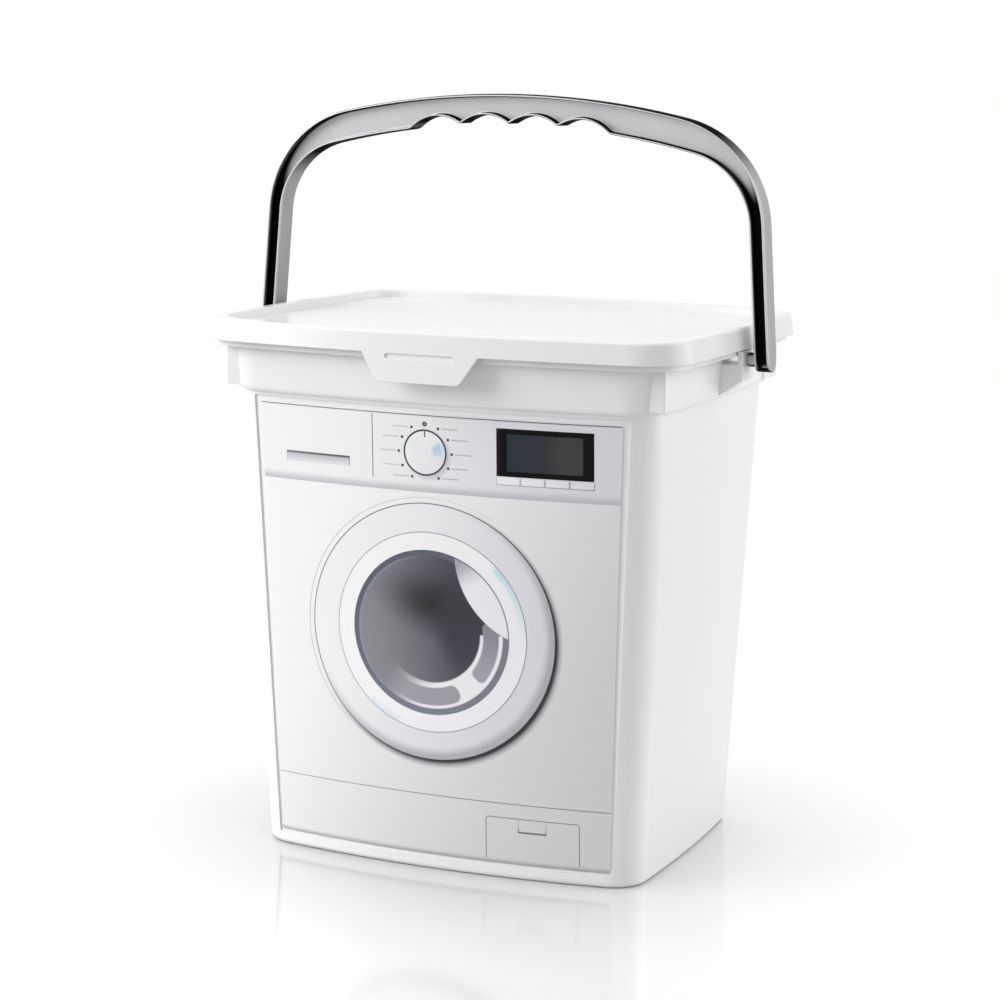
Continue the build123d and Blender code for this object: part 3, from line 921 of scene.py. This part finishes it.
@dataclass
class MachineDoor:
    """The print's round door: outline, ring, bezel, and the glass with the drum behind it."""

    press: PrintPress
    radius: float = 57.5
    ring_edge: float = 0.45
    ring_turn: tuple[float, float, float] = (-1.2, 1.4, 2.4)
    outline: Pair = (59.8, 0.28)
    outline_turn: Pair = (60.0, 228.0)
    outline_points: int = 120
    outline_proud: float = 0.03
    turns: int = 144
    ring_bands: int = 26
    ring_proud: float = 0.05
    bezel: float = 44.8
    bezel_line: float = 0.4
    bezel_bands: int = 18
    bezel_proud: float = 0.08
    glint_depth: float = 2.8
    glint_round: float = 1.0
    right_glint: Pair = (2.0, 46.0)
    left_glint: Pair = (-131.0, -109.0)
    glass: float = 36.8
    glass_edge: float = 0.5
    glass_cells: int = 120
    glass_proud: float = 0.11
    drum: tuple[float, float, float] = (0.5, 1.0, 23.2)
    drum_dark: tuple[Pair, Pair, float] = ((4.0, 13.0), (19.0, 10.0), -12.0)
    drum_right: tuple[Pair, Pair, float] = ((14.0, 2.0), (9.0, 17.0), 10.0)
    patch_low: tuple[Pair, Pair, float] = ((24.6, 32.6), (-128.0, -61.5), 3.4)
    patch_side: tuple[Pair, Pair, float] = ((25.0, 32.2), (-41.0, 14.0), 2.4)
    lens: tuple[float, float, float] = (52.1, 37.2, 40.1)
    glow: float = 34.0
    glow_turn: Pair = (-152.0, 3.0)
    rim_start: float = 0.2
    rim_light: float = 0.45
    seam: float = 0.02

    def at(self, x: float, z: float) -> Pair:
        """A point of the print from its place relative to the door's middle."""
        return beside(PLAN.door, x, z)

    def away(self, radius: float) -> Measure:
        """The distance to a circle round the door's middle, below zero outside it."""
        measure = circle_distance(PLAN.door, radius)
        return lambda x, z: -measure(x, z)

    def build(self) -> list[Piece]:
        """Makes the door's pieces."""
        return [self.make_outline(), self.make_ring(), self.make_bezel(), self.make_glass()]

    def make_outline(self) -> Piece:
        """The pale line outside the ring, on the side away from the shadow."""
        radius, width = self.outline
        angle = np.radians(np.linspace(*self.outline_turn, self.outline_points))[:, None]
        across = radius + width * np.array([-0.5, 0.5])
        x, z = PLAN.door
        grid = Grid(x + across * np.cos(angle), z + across * np.sin(angle))
        ink = Fade("#BEBEC2", "#DEDEE0", self.at(-45, 25), self.at(20, 50))
        finish = PrintedFilm("door_outline_print", ink)
        nodes = ["print_door_ring"]
        return self.press.lay("door_outline", [grid], finish, Slot.SILVER, nodes, self.outline_proud)

    def make_ring(self) -> Piece:
        """The outer ring, darker inside its edge on the lower right, with a thin dark outline."""
        shift_x, shift_z, inset = self.ring_turn
        turn = circle_distance(self.at(shift_x, shift_z), self.radius - inset)
        measures = {
            "ring_turn": lambda x, z: -turn(x, z),
            "ring_edge": self.away(self.radius - self.ring_edge),
        }
        shade = Fade("#A9A9B2", "#A9A9B2", self.at(-30, 30), self.at(25, -25))
        edge = Fade("#6F6F74", "#17161A", self.at(-20, 30), self.at(30, 0))
        layers = (InkLayer("ring_turn", shade, 4.5, (0.0, 0.8)), InkLayer("ring_edge", edge, 0.3))
        ground = Fade("#FAFAFC", "#E4E4EA", self.at(-45, 25), self.at(50, -20))
        finish = PrintedFilm("door_ring_print", ground, layers)
        grid = ring_grid(PLAN.door, self.bezel - self.seam, self.radius, self.turns, self.ring_bands)
        nodes, proud = ["print_door_edge", "print_door_ring"], self.ring_proud
        return self.press.lay("door_ring", [grid], finish, Slot.SILVER, nodes, proud, measures)

    def make_bezel(self) -> Piece:
        """The bright bezel, with a fine line round it and two pale blue glints."""
        band = (self.bezel - self.glint_depth, self.bezel)
        measures = {
            "bezel_line": self.away(self.bezel - self.bezel_line),
            "right_glint": arc_distance(PLAN.door, band, self.right_glint, self.glint_round),
            "left_glint": arc_distance(PLAN.door, band, self.left_glint, self.glint_round),
        }
        blue = Fade("#C4E6F4", "#D8EEF7", self.at(30, 30), self.at(44, 4))
        line = Fade("#A6A6AC", "#94949B", self.at(-40, 0), self.at(40, 0))
        layers = (
            InkLayer("right_glint", blue, 2.2, (0.85, 0.5)),
            InkLayer("left_glint", Fade("#DAEEF7", "#DAEEF7"), 2.2, (0.6, 0.6)),
            InkLayer("bezel_line", line, 0.25),
        )
        ground = Fade("#FFFFFF", "#FBFBFF", self.at(-30, 25), self.at(35, -25))
        finish = PrintedFilm("door_bezel_print", ground, layers)
        grid = ring_grid(PLAN.door, self.glass - self.seam, self.bezel, self.turns, self.bezel_bands)
        nodes, proud = ["print_door_bezel"], self.bezel_proud
        return self.press.lay("door_bezel", [grid], finish, Slot.WHITE, nodes, proud, measures)

    def make_glass(self) -> Piece:
        """The glass: a slate rim, the dark drum, white light round it, two patches and the lens."""
        drum_x, drum_z, drum_radius = self.drum
        lens_x, lens_z, lens_radius = self.lens
        to_drum = circle_distance(self.at(drum_x, drum_z), drum_radius)
        to_lens = circle_distance(self.at(lens_x, lens_z), lens_radius)
        to_glow = circle_distance(PLAN.door, self.glow)
        to_rim = circle_distance(PLAN.door, self.glass - self.glass_edge)
        to_arc = arc_distance(PLAN.door, (0.0, 60.0), self.glow_turn, 0.0)

        def glow_band(x: np.ndarray, z: np.ndarray) -> np.ndarray:
            """Between the drum's edge and the glow's outer edge, within the glow's turn."""
            return np.maximum(np.maximum(-to_drum(x, z), to_glow(x, z)), to_arc(x, z))

        measures = {
            "glass_rim": self.away(self.glow + self.rim_start),
            "rim_light": lambda x, z: np.abs(to_glow(x, z)) - self.rim_light,
            "glow": glow_band,
            "patch_low": arc_distance(PLAN.door, *self.patch_low),
            "patch_side": arc_distance(PLAN.door, *self.patch_side),
            "lens": lambda x, z: np.maximum(to_lens(x, z), to_rim(x, z)),
        }
        for name, shape in (("drum_dark", self.drum_dark), ("drum_right", self.drum_right)):
            middle, half, tilt = shape
            measures[name] = ellipse_distance(self.at(*middle), half, tilt)
        glow = Fade("#85858F", "#FAF9FC", self.at(-24, -12), self.at(2, -28))
        patch_low = Fade("#7E7D86", "#A3A1AA", self.at(-24, -17), self.at(-6, -28))
        patch_side = Fade("#8E8C98", "#A8A5AF", self.at(30, 6), self.at(22, -18))
        rim = Fade("#565C6B", "#7D818D", self.at(-20, 24), self.at(24, -22))
        rim_light = Fade("#8E98A6", "#8E98A6", self.at(-34, 4), self.at(4, 0))
        lens = Fade("#ABAAB6", "#F8F6FA", self.at(13, 33), self.at(20, 21))
        layers = (
            InkLayer("drum_dark", Fade("#05060F", "#05060F"), 18.0, (1.0, 1.0)),
            InkLayer("drum_right", Fade("#262834", "#262834"), 12.0, (0.9, 0.9)),
            InkLayer("glow", glow, 1.0, (0.0, 1.0)),
            InkLayer("patch_low", patch_low, 0.9, (0.0, 1.0)),
            InkLayer("patch_side", patch_side, 0.9),
            InkLayer("glass_rim", rim, 0.8),
            InkLayer("rim_light", rim_light, 0.9, (0.8, 0.0)),
            InkLayer("lens", lens, 0.5),
        )
        ground = Fade("#88888F", "#363847", self.at(-34, -4), self.at(24, 6))
        finish = PrintedFilm("door_glass_print", ground, layers, roughness=0.2)
        nodes = ["print_door_glass", "print_door_drum", "print_door_glow", "print_door_lens"]
        grid = disc_grid(PLAN.door, self.glass, self.glass_cells)
        proud = self.glass_proud
        return self.press.lay("door_glass", [grid], finish, Slot.SLATE, nodes, proud, measures)


@dataclass
class PanelLines:
    """The print's fine lines: upper edge, divider, foot line, and the service flap with its grip."""

    press: PrintPress
    line: float = 0.4
    top_drop: float = 0.85
    foot_line: float = 34.3
    flap: tuple[float, float, float, float] = (23.8, 66.2, 8.8, 28.0)
    flap_corner: float = 1.6
    grip: tuple[float, float, float, float] = (38.6, 51.4, 21.4, 27.0)
    grip_side: float = 0.35
    grip_bar: float = 0.8

    def build(self) -> list[Piece]:
        """Makes the lines."""
        line, high, foot_z = self.line, PLAN.high, self.foot_line
        reach = PLAN.half(high) - line
        foot = PLAN.half(foot_z) - line
        left, right, low, top = self.grip
        bar, side = self.grip_bar, self.grip_side
        strip_lines = [
            box_grid(-reach, reach, high - self.top_drop, high - line),
            box_grid(PLAN.divider_x, PLAN.divider_x + line, *PLAN.divider),
        ]
        foot_lines = [
            box_grid(-foot, foot, foot_z - line / 2, foot_z + line / 2),
            frame_grid(*self.flap, self.flap_corner, line),
        ]
        grip_lines = [
            box_grid(left, left + side, low + bar, top),
            box_grid(right - side, right, low + bar, top),
            box_grid(left, right, low, low + bar),
        ]
        strip_ink = Fade("#8A8A8E", "#66666A", (-80, 0), (60, 0))
        foot_ink = Fade("#A4A4A6", "#8E8E91", (-80, 0), (60, 0))
        grip_ink = Fade("#77777A", "#C2C2C4", (0, low + bar), (0, top - 1))
        return [
            self.press.lay(name, grids, PrintedFilm(finish, ink), Slot.LINE, ["print_lines"], 0.05)
            for name, grids, finish, ink in (
                ("strip_lines", strip_lines, "strip_line_print", strip_ink),
                ("foot_lines", foot_lines, "foot_line_print", foot_ink),
                ("flap_grip", grip_lines, "flap_grip_print", grip_ink),
            )
        ]


@dataclass
class CarryingHandle:
    """The handle: an H section carried along a crown, two shoulders and two leaning arms.

    The section's two flanges have rounded lips, and the outer one is a little fuller at the
    parting line in the middle of its depth. Four finger grooves are cut into the lower flange.
    """

    top: float = 338.0
    crown: float = 380.0
    shoulder: float = 50.0
    under: float = 324.6
    under_radius: float = 370.0
    inner_shoulder: float = 34.0
    pivot: float = 225.7
    outer_foot: float = 124.15
    arm_width: float = 6.85
    lean_share: float = 0.073
    depth: float = 12.6
    foot_rise: float = 1.2
    foot_floor: float = 1.5
    foot_turn: float = 82.0
    foot_end_share: float = 0.995
    flange: float = 1.0
    web: float = 1.8
    fullness: float = 0.22
    lip: Pair = (0.5, 1.1)
    lip_inner: float = 0.3
    root: float = 0.6
    web_cells: int = 10
    outer_floor_share: float = 0.5
    inner_floor_share: float = 0.3
    inner_share: float = 0.525
    crown_share: float = 0.7
    crown_depth_share: float = 0.3
    least: float = 0.02
    face_skin: float = 0.05
    groove_radius: float = 18.6
    groove_pitch: float = 22.8
    groove_tops: Pair = (328.7, 327.6)
    groove_blend: float = 0.55
    stations: tuple[int, int, int, int] = (110, 26, 14, 14)
    hub: Pair = (3.1, 113.4)
    hub_edge: float = 0.25
    pin: tuple[float, float, float] = (2.5, 110.4, 0.6)
    pin_cells: int = 40
    sharp_turn: float = 50.0

    def outline(self, top: float, crown: float, shoulder: float, foot_x: float) -> Arrays:
        """One edge of the handle from the middle of the crown to the foot, seen from the front.

        The crown is the arc (R sin a, top - R + R cos a) up to the turn t, where the shoulder's
        smaller arc about ((R - r) sin t, top - R + (R - r) cos t) takes over and turns on to
        90 degrees less the lean. The arm is straight from there to the foot.

        Args:
            top: Height of the edge in the middle.
            crown: Radius R of the crown's arc.
            shoulder: Radius r of the shoulder's arc.
            foot_x: Where the edge is at the pivot's height.

        Returns:
            Positions x and heights z.
        """
        lean = math.atan(self.lean_share)
        reach = (foot_x + self.lean_share * self.pivot) * math.cos(lean)
        turn = math.asin((reach - shoulder - (top - crown) * math.sin(lean)) / (crown - shoulder)) - lean
        count_crown, count_shoulder, count_arm, count_foot = self.stations
        a = np.linspace(0, turn, count_crown, endpoint=False)
        b = np.linspace(turn, math.pi / 2 - lean, count_shoulder)
        x_shoulder = (crown - shoulder) * math.sin(turn) + shoulder * np.sin(b)
        z_shoulder = (crown - shoulder) * math.cos(turn) + shoulder * np.cos(b)
        x_arc = np.concatenate([crown * np.sin(a), x_shoulder])
        z_arc = top - crown + np.concatenate([crown * np.cos(a), z_shoulder])
        centre, radius = self.pivot + self.foot_rise, self.depth / 2
        round_foot = centre - radius * np.sin(np.linspace(0, math.radians(self.foot_turn), count_foot))
        z_arm = np.concatenate([np.linspace(z_arc[-1], centre, count_arm, endpoint=False)[1:], round_foot])
        x_arm = foot_x - self.lean_share * (z_arm - self.pivot)
        return np.concatenate([x_arc, x_arm]), np.concatenate([z_arc, z_arm])

    def grooved(self, x: np.ndarray, z: np.ndarray) -> np.ndarray:
        """Cuts the finger grooves into the lower edge.

        Each groove is the circle z = c + sqrt(r^2 - (x - m)^2), and the edge follows the highest
        of them with a soft blend: max(a, b) + k exp(-|a - b| / k) / 2.

        Args:
            x: Positions of the edge.
            z: Heights of the plain edge.

        Returns:
            Heights of the grooved edge.
        """
        for index, groove_top in enumerate(self.groove_tops):
            away = x - self.groove_pitch * (index + 0.5)
            inside = np.maximum(self.groove_radius**2 - away**2, 0)
            groove = np.where(inside > 0, groove_top - self.groove_radius + np.sqrt(inside), -np.inf)
            gap = np.abs(groove - z)
            z = np.maximum(groove, z) + self.groove_blend / 2 * np.exp(-gap / self.groove_blend)
        return z

    def section(self, width: np.ndarray, half: np.ndarray, web: np.ndarray) -> Arrays:
        """The H section's loop at each station.

        Corners are quarter ellipses (a, b)(cos e, sin e). The loop goes from the outer face over
        the front to the inner face, and back over the rear.

        Args:
            width: From the inner to the outer face at each station.
            half: Half the section's depth.
            web: Half the web's thickness.

        Returns:
            Places across the width and along the depth, one row for each station.
        """
        e = np.linspace(0, np.pi / 2, 5)
        w, h, t = width[:, None], half[:, None], web[:, None]
        lip_x, lip_y = self.lip
        f, q, c = self.flange, self.lip_inner, self.root
        full = np.full_like(w, self.fullness) * (h / half.max())
        outer_a = w - lip_x * (1 - np.cos(e))
        outer_y = np.maximum(h - lip_y + lip_y * np.sin(e), h * self.outer_floor_share)
        inner_a = w - f + q * (1 - np.sin(e))
        inner_y = h - q + q * np.cos(e)
        root_a = w - f - c * (1 - np.cos(e))
        root_y = np.minimum(t + c - c * np.sin(e), h)
        share = np.linspace(0, 1, self.web_cells + 1)[1:-1]
        web_a = root_a[:, -1:] + share * (w - 2 * root_a[:, -1:])
        web_y = np.repeat(np.minimum(t, h), share.size, axis=1)
        across = np.concatenate([outer_a, inner_a, root_a], axis=1)
        inner_y = np.minimum(np.maximum(inner_y, h * self.inner_floor_share), h)
        reach = np.concatenate([outer_y, inner_y, root_y], axis=1)
        front_a = np.concatenate([across, web_a, (w - across)[:, ::-1]], axis=1)
        front_y = np.concatenate([-reach, -web_y, -reach[:, ::-1]], axis=1)
        loop_a = np.concatenate([w + full, front_a, 0 * w, front_a[:, ::-1]], axis=1)
        loop_y = np.concatenate([0 * w, front_y, 0 * w, -front_y[:, ::-1]], axis=1)
        return loop_a, loop_y

    def open_share(
        self, loop_a: np.ndarray, loop_y: np.ndarray, width: np.ndarray, half: np.ndarray
    ) -> np.ndarray:
        """How much of the open side each point sees: (sin p + sin q) / 2.

        The angles p and q run from straight out of the channel to the lips of the two flanges:
        tan p = a / d and tan q = (w - a) / d, for a point d deep in a channel w wide. Along the
        crown the channel counts as no deeper than crown_depth_share of its width, so that the
        painted shade keeps to a line along the flanges. The material paints channel shade from
        these shares.

        Args:
            loop_a: Places across the width.
            loop_y: Places along the depth.
            width: From the inner to the outer face at each station.
            half: Half the section's depth at each station.

        Returns:
            Shares for the loop's points: 1 on both flanges, and inner_share on the innermost face.
        """
        wide = width[:, None]
        near = np.maximum(loop_a - self.flange, self.least)
        far = np.maximum(wide - self.flange - loop_a, self.least)
        deep = np.maximum(half[:, None] - np.abs(loop_y), self.least)
        crown = np.arange(width.size)[:, None] < self.crown_share * self.stations[0]
        deep = np.where(crown, np.minimum(deep, self.crown_depth_share * wide), deep)
        share = (near / np.hypot(near, deep) + far / np.hypot(far, deep)) / 2
        share[np.abs(loop_a - wide / 2) > wide / 2 - self.flange + self.face_skin] = 1.0
        share[loop_a <= self.face_skin] = self.inner_share
        return share

    def frame_rings(self) -> Arrays:
        """The handle's rings of points from the left foot over the crown to the right foot.

        Returns:
            An array of stations, loop points and x, y, z in millimetres, and the open shares.
        """
        outer_x, outer_z = self.outline(self.top, self.crown, self.shoulder, self.outer_foot)
        inner_foot = self.outer_foot - self.arm_width
        inner_x, inner_z = self.outline(self.under, self.under_radius, self.inner_shoulder, inner_foot)
        inner_z = self.grooved(inner_x, inner_z)
        centre, radius = self.pivot + self.foot_rise, self.depth / 2
        drop = np.clip((centre - outer_z) / radius, 0, self.foot_end_share)
        half = radius * np.sqrt(1 - drop**2)
        low = centre - radius + self.foot_floor
        web = np.where(outer_z < low, half, np.minimum(self.web / 2, half))
        across_x, across_z = outer_x - inner_x, outer_z - inner_z
        width = np.hypot(across_x, across_z)
        loop_a, loop_y = self.section(width, half, web)
        share = loop_a / width[:, None]
        x = inner_x[:, None] + share * across_x[:, None]
        z = inner_z[:, None] + share * across_z[:, None]
        right = np.stack([x, loop_y, z], axis=-1)
        left = right[:0:-1] * np.array([-1.0, 1.0, 1.0])
        light = self.open_share(loop_a, loop_y, width, half)
        return np.concatenate([left, right]), np.concatenate([light[:0:-1], light])

    def pivot_rings(self, side: int) -> np.ndarray:
        """A hub with its pin, turned about the pivot: (x, r cos a, pivot + r sin a).

        Args:
            side: 1 for the right foot and -1 for the left one.

        Returns:
            An array of stations, loop points and x, y, z in millimetres.
        """
        hub_radius, hub_face = self.hub
        pin_radius, pin_end, tip = self.pin
        root = self.outer_foot - self.arm_width + self.flange / 2
        edge = self.hub_edge
        x = np.array([root, hub_face + edge, hub_face, hub_face, pin_end + tip, pin_end])
        r = np.array([hub_radius, hub_radius, hub_radius - edge, pin_radius, pin_radius, pin_radius - tip])
        angle = np.linspace(0, 2 * np.pi, self.pin_cells, endpoint=False) * -side
        y = r[:, None] * np.cos(angle)
        z = self.pivot + r[:, None] * np.sin(angle)
        return np.stack([np.repeat(side * x[:, None], angle.size, axis=1), y, z], axis=-1)

    def build(self) -> Piece:
        """Makes the handle.

        Returns:
            The handle's piece.
        """
        bow, light = self.frame_rings()
        points, faces, start = [], [], 0
        for rings in (bow, self.pivot_rings(-1), self.pivot_rings(1)):
            count, loop = rings.shape[:2]
            number = np.arange(count * loop).reshape(count, loop) + start
            ahead = np.roll(number, -1, axis=1)
            quads = np.stack([number[:-1], number[1:], ahead[1:], ahead[:-1]], axis=-1).reshape(-1, 4)
            faces += quads.tolist() + [number[0].tolist(), number[-1, ::-1].tolist()]
            points.append(rings.reshape(-1, 3) * MM)
            start += count * loop
        mesh = bpy.data.meshes.new("handle_moulding")
        mesh.from_pydata(np.vstack(points).tolist(), [], faces)
        mesh.polygons.foreach_set("use_smooth", np.ones(len(mesh.polygons), dtype=bool))
        mesh.set_sharp_from_angle(angle=math.radians(self.sharp_turn))
        # The open shares go on the mesh, where the material paints shade into the channels
        shares = np.ones(len(mesh.vertices), dtype=np.float32)
        shares[: light.size] = light.ravel()
        mesh.attributes.new("open_share", "FLOAT", "POINT").data.foreach_set("value", shares)
        mesh.materials.append(HANDLE_PLASTIC.material())
        piece = bpy.data.objects.new("handle_moulding", mesh)
        bpy.context.scene.collection.objects.link(piece)
        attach(piece, Body.HANDLE.value)
        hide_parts("handle")
        LOG.info("moulded the handle: %d faces", len(mesh.polygons))
        return piece


@dataclass
class Mouldings:
    """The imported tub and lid, which keep their shape and get their plastics."""

    finishes: tuple[tuple[str, MouldedPlastic], ...] = (
        ("tub", TUB_PLASTIC),
        ("lid", LID_PLASTIC),
    )

    def build(self) -> list[Piece]:
        """Dresses the mouldings.

        Returns:
            The dressed nodes.
        """
        dressed = []
        for name, finish in self.finishes:
            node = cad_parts[name]
            material = finish.material()
            for place in node.material_slots:
                place.material = material
            LOG.info("dressed %s in %s", name, finish.name)
            dressed.append(node)
        return dressed


@dataclass
class Studio:
    """White floor and background, three soft lamps, and the camera at the photograph's place."""

    yaw: float = 0.394
    pitch: float = -0.164
    roll: float = 0.017
    eye: tuple[float, float, float] = (0.454991, -1.102571, 0.351701)
    lens: float = 95.06
    sensor: float = 36.0
    floor_size: float = 8.0
    board_tone: str = "#8C8C8C"
    world_strength: float = 0.48
    board_gloss: float = 0.4
    board_polish: float = 0.12
    board_reach: Pair = (0.22, 0.5)
    contact_reach: float = 0.12
    contact_share: Pair = (0.0, 0.82)
    contact_samples: int = 16
    aim: tuple[float, float, float] = (0.0, 0.0, 0.15)
    lamps: tuple[tuple[str, tuple[float, float, float], float, float], ...] = (
        ("key", (-1.35, -1.05, 0.9), 1.1, 22.0),
        ("side", (1.5, 0.75, 0.65), 1.7, 15.5),
        ("top", (-0.3, -0.2, 1.9), 1.3, 8.5),
    )

    def build(self) -> None:
        """Sets up the camera, the floor, the world and the lamps."""
        self.place_camera()
        self.make_floor()
        self.make_world()
        for name, place, size, power in self.lamps:
            self.make_lamp(name, place, size, power)
        bpy.context.scene.view_settings.view_transform = "Standard"
        LOG.info("studio ready")

    def place_camera(self) -> None:
        """Aims the camera by its yaw, pitch and roll."""
        cos, sin = math.cos, math.sin
        look = Vector(
            (-sin(self.yaw) * cos(self.pitch), cos(self.yaw) * cos(self.pitch), sin(self.pitch))
        )
        level = Vector((cos(self.yaw), sin(self.yaw), 0.0))
        up = level.cross(look)
        right = level * cos(self.roll) + up * sin(self.roll)
        top = up * cos(self.roll) - level * sin(self.roll)
        data = bpy.data.cameras.new("photo_camera")
        data.lens, data.sensor_width = self.lens, self.sensor
        camera = bpy.data.objects.new("photo_camera", data)
        turn = Matrix((right, top, -look)).transposed().to_4x4()
        camera.matrix_world = Matrix.Translation(Vector(self.eye)) @ turn
        bpy.context.scene.collection.objects.link(camera)
        bpy.context.scene.camera = camera

    def make_floor(self) -> None:
        """A level sheet of glossy white board that shows a faint reflection and a soft shadow."""
        half = self.floor_size / 2
        mesh = bpy.data.meshes.new("floor")
        corners = [(-half, -half, 0), (half, -half, 0), (half, half, 0), (-half, half, 0)]
        mesh.from_pydata(corners, [], [(0, 1, 2, 3)])
        floor = bpy.data.objects.new("floor", mesh)
        bpy.context.scene.collection.objects.link(floor)
        material, tree, shader = new_material("white_glossy_board")
        path = add_node(tree, "LightPath")
        seen = calculate(tree, "MAXIMUM", path.outputs["Is Camera Ray"], path.outputs["Is Glossy Ray"])
        # The contact shadow: the glow drops where the box hides the sky from the board
        settings = {"samples": self.contact_samples}
        sky_seen = add_node(tree, "AmbientOcclusion", settings, {"Distance": self.contact_reach})
        lit = map_range(tree, sky_seen.outputs["AO"], to=self.contact_share)
        strength = calculate(tree, "MULTIPLY", seen, lit)
        shader.inputs["Base Color"].default_value = linear_colour(self.board_tone)
        shader.inputs["Roughness"].default_value = 1.0
        shader.inputs["Specular IOR Level"].default_value = 0.0
        shader.inputs["Emission Color"].default_value = WHITE
        tree.links.new(strength, shader.inputs["Emission Strength"])
        polish = {"Color": WHITE, "Roughness": self.board_polish}
        mirror = add_node(tree, "BsdfAnisotropic", inputs=polish).outputs[0]
        parts = {0: self.board_gloss, 1: shader.outputs[0], 2: mirror}
        board = add_node(tree, "MixShader", inputs=parts).outputs[0]
        # Away from the box the board runs out into the white of the background
        place = add_node(tree, "TexCoord").outputs["Object"]
        away = add_node(tree, "VectorMath", {"operation": "LENGTH"}, {0: place})
        gone = map_range(tree, away.outputs["Value"], self.board_reach, smooth=True)
        clear = add_node(tree, "BsdfTransparent").outputs[0]
        edge = add_node(tree, "MixShader", inputs={0: gone, 1: board, 2: clear})
        tree.links.new(edge.outputs[0], tree.nodes["Material Output"].inputs["Surface"])
        mesh.materials.append(material)

    def make_world(self) -> None:
        """A world that lights evenly and that the camera and glossy surfaces see as white."""
        world = bpy.data.worlds.new("studio")
        bpy.context.scene.world = world
        world.use_nodes = True
        tree = world.node_tree
        tree.nodes.clear()
        path = add_node(tree, "LightPath")
        glossy = calculate(tree, "MAXIMUM", path.outputs["Is Camera Ray"], path.outputs["Is Glossy Ray"])
        seen = calculate(tree, "MAXIMUM", glossy, path.outputs["Is Transmission Ray"])
        strength = map_range(tree, seen, to=(self.world_strength, 1.0))
        sky = add_node(tree, "Background", inputs={"Color": WHITE, "Strength": strength})
        add_node(tree, "OutputWorld", inputs={"Surface": sky.outputs[0]})

    def make_lamp(self, name: str, place: tuple[float, float, float], size: float, power: float) -> None:
        """Adds a square soft lamp aimed at the middle of the box.

        Args:
            name: The lamp's name.
            place: Where it hangs, in metres.
            size: Its side, in metres.
            power: Its power in watts.
        """
        data = bpy.data.lights.new(name, "AREA")
        data.energy, data.size = power, size
        lamp = bpy.data.objects.new(name, data)
        lamp.location = place
        aim = Vector(self.aim) - Vector(place)
        lamp.rotation_euler = aim.to_track_quat("-Z", "Y").to_euler()
        bpy.context.scene.collection.objects.link(lamp)


def main() -> None:
    """Builds the studio, the mouldings and the printed front in order."""
    logging.basicConfig(level=logging.INFO, format="%(name)s: %(message)s")
    Studio().build()
    press = PrintPress()
    prints = (FrontFilm(press), ControlStrip(press), MachineDoor(press), PanelLines(press))
    for builder in (Mouldings(), CarryingHandle(), *prints):
        made = builder.build()
        LOG.info("%s done: %s", type(builder).__name__, made)


if __name__ == "__main__":
    main()
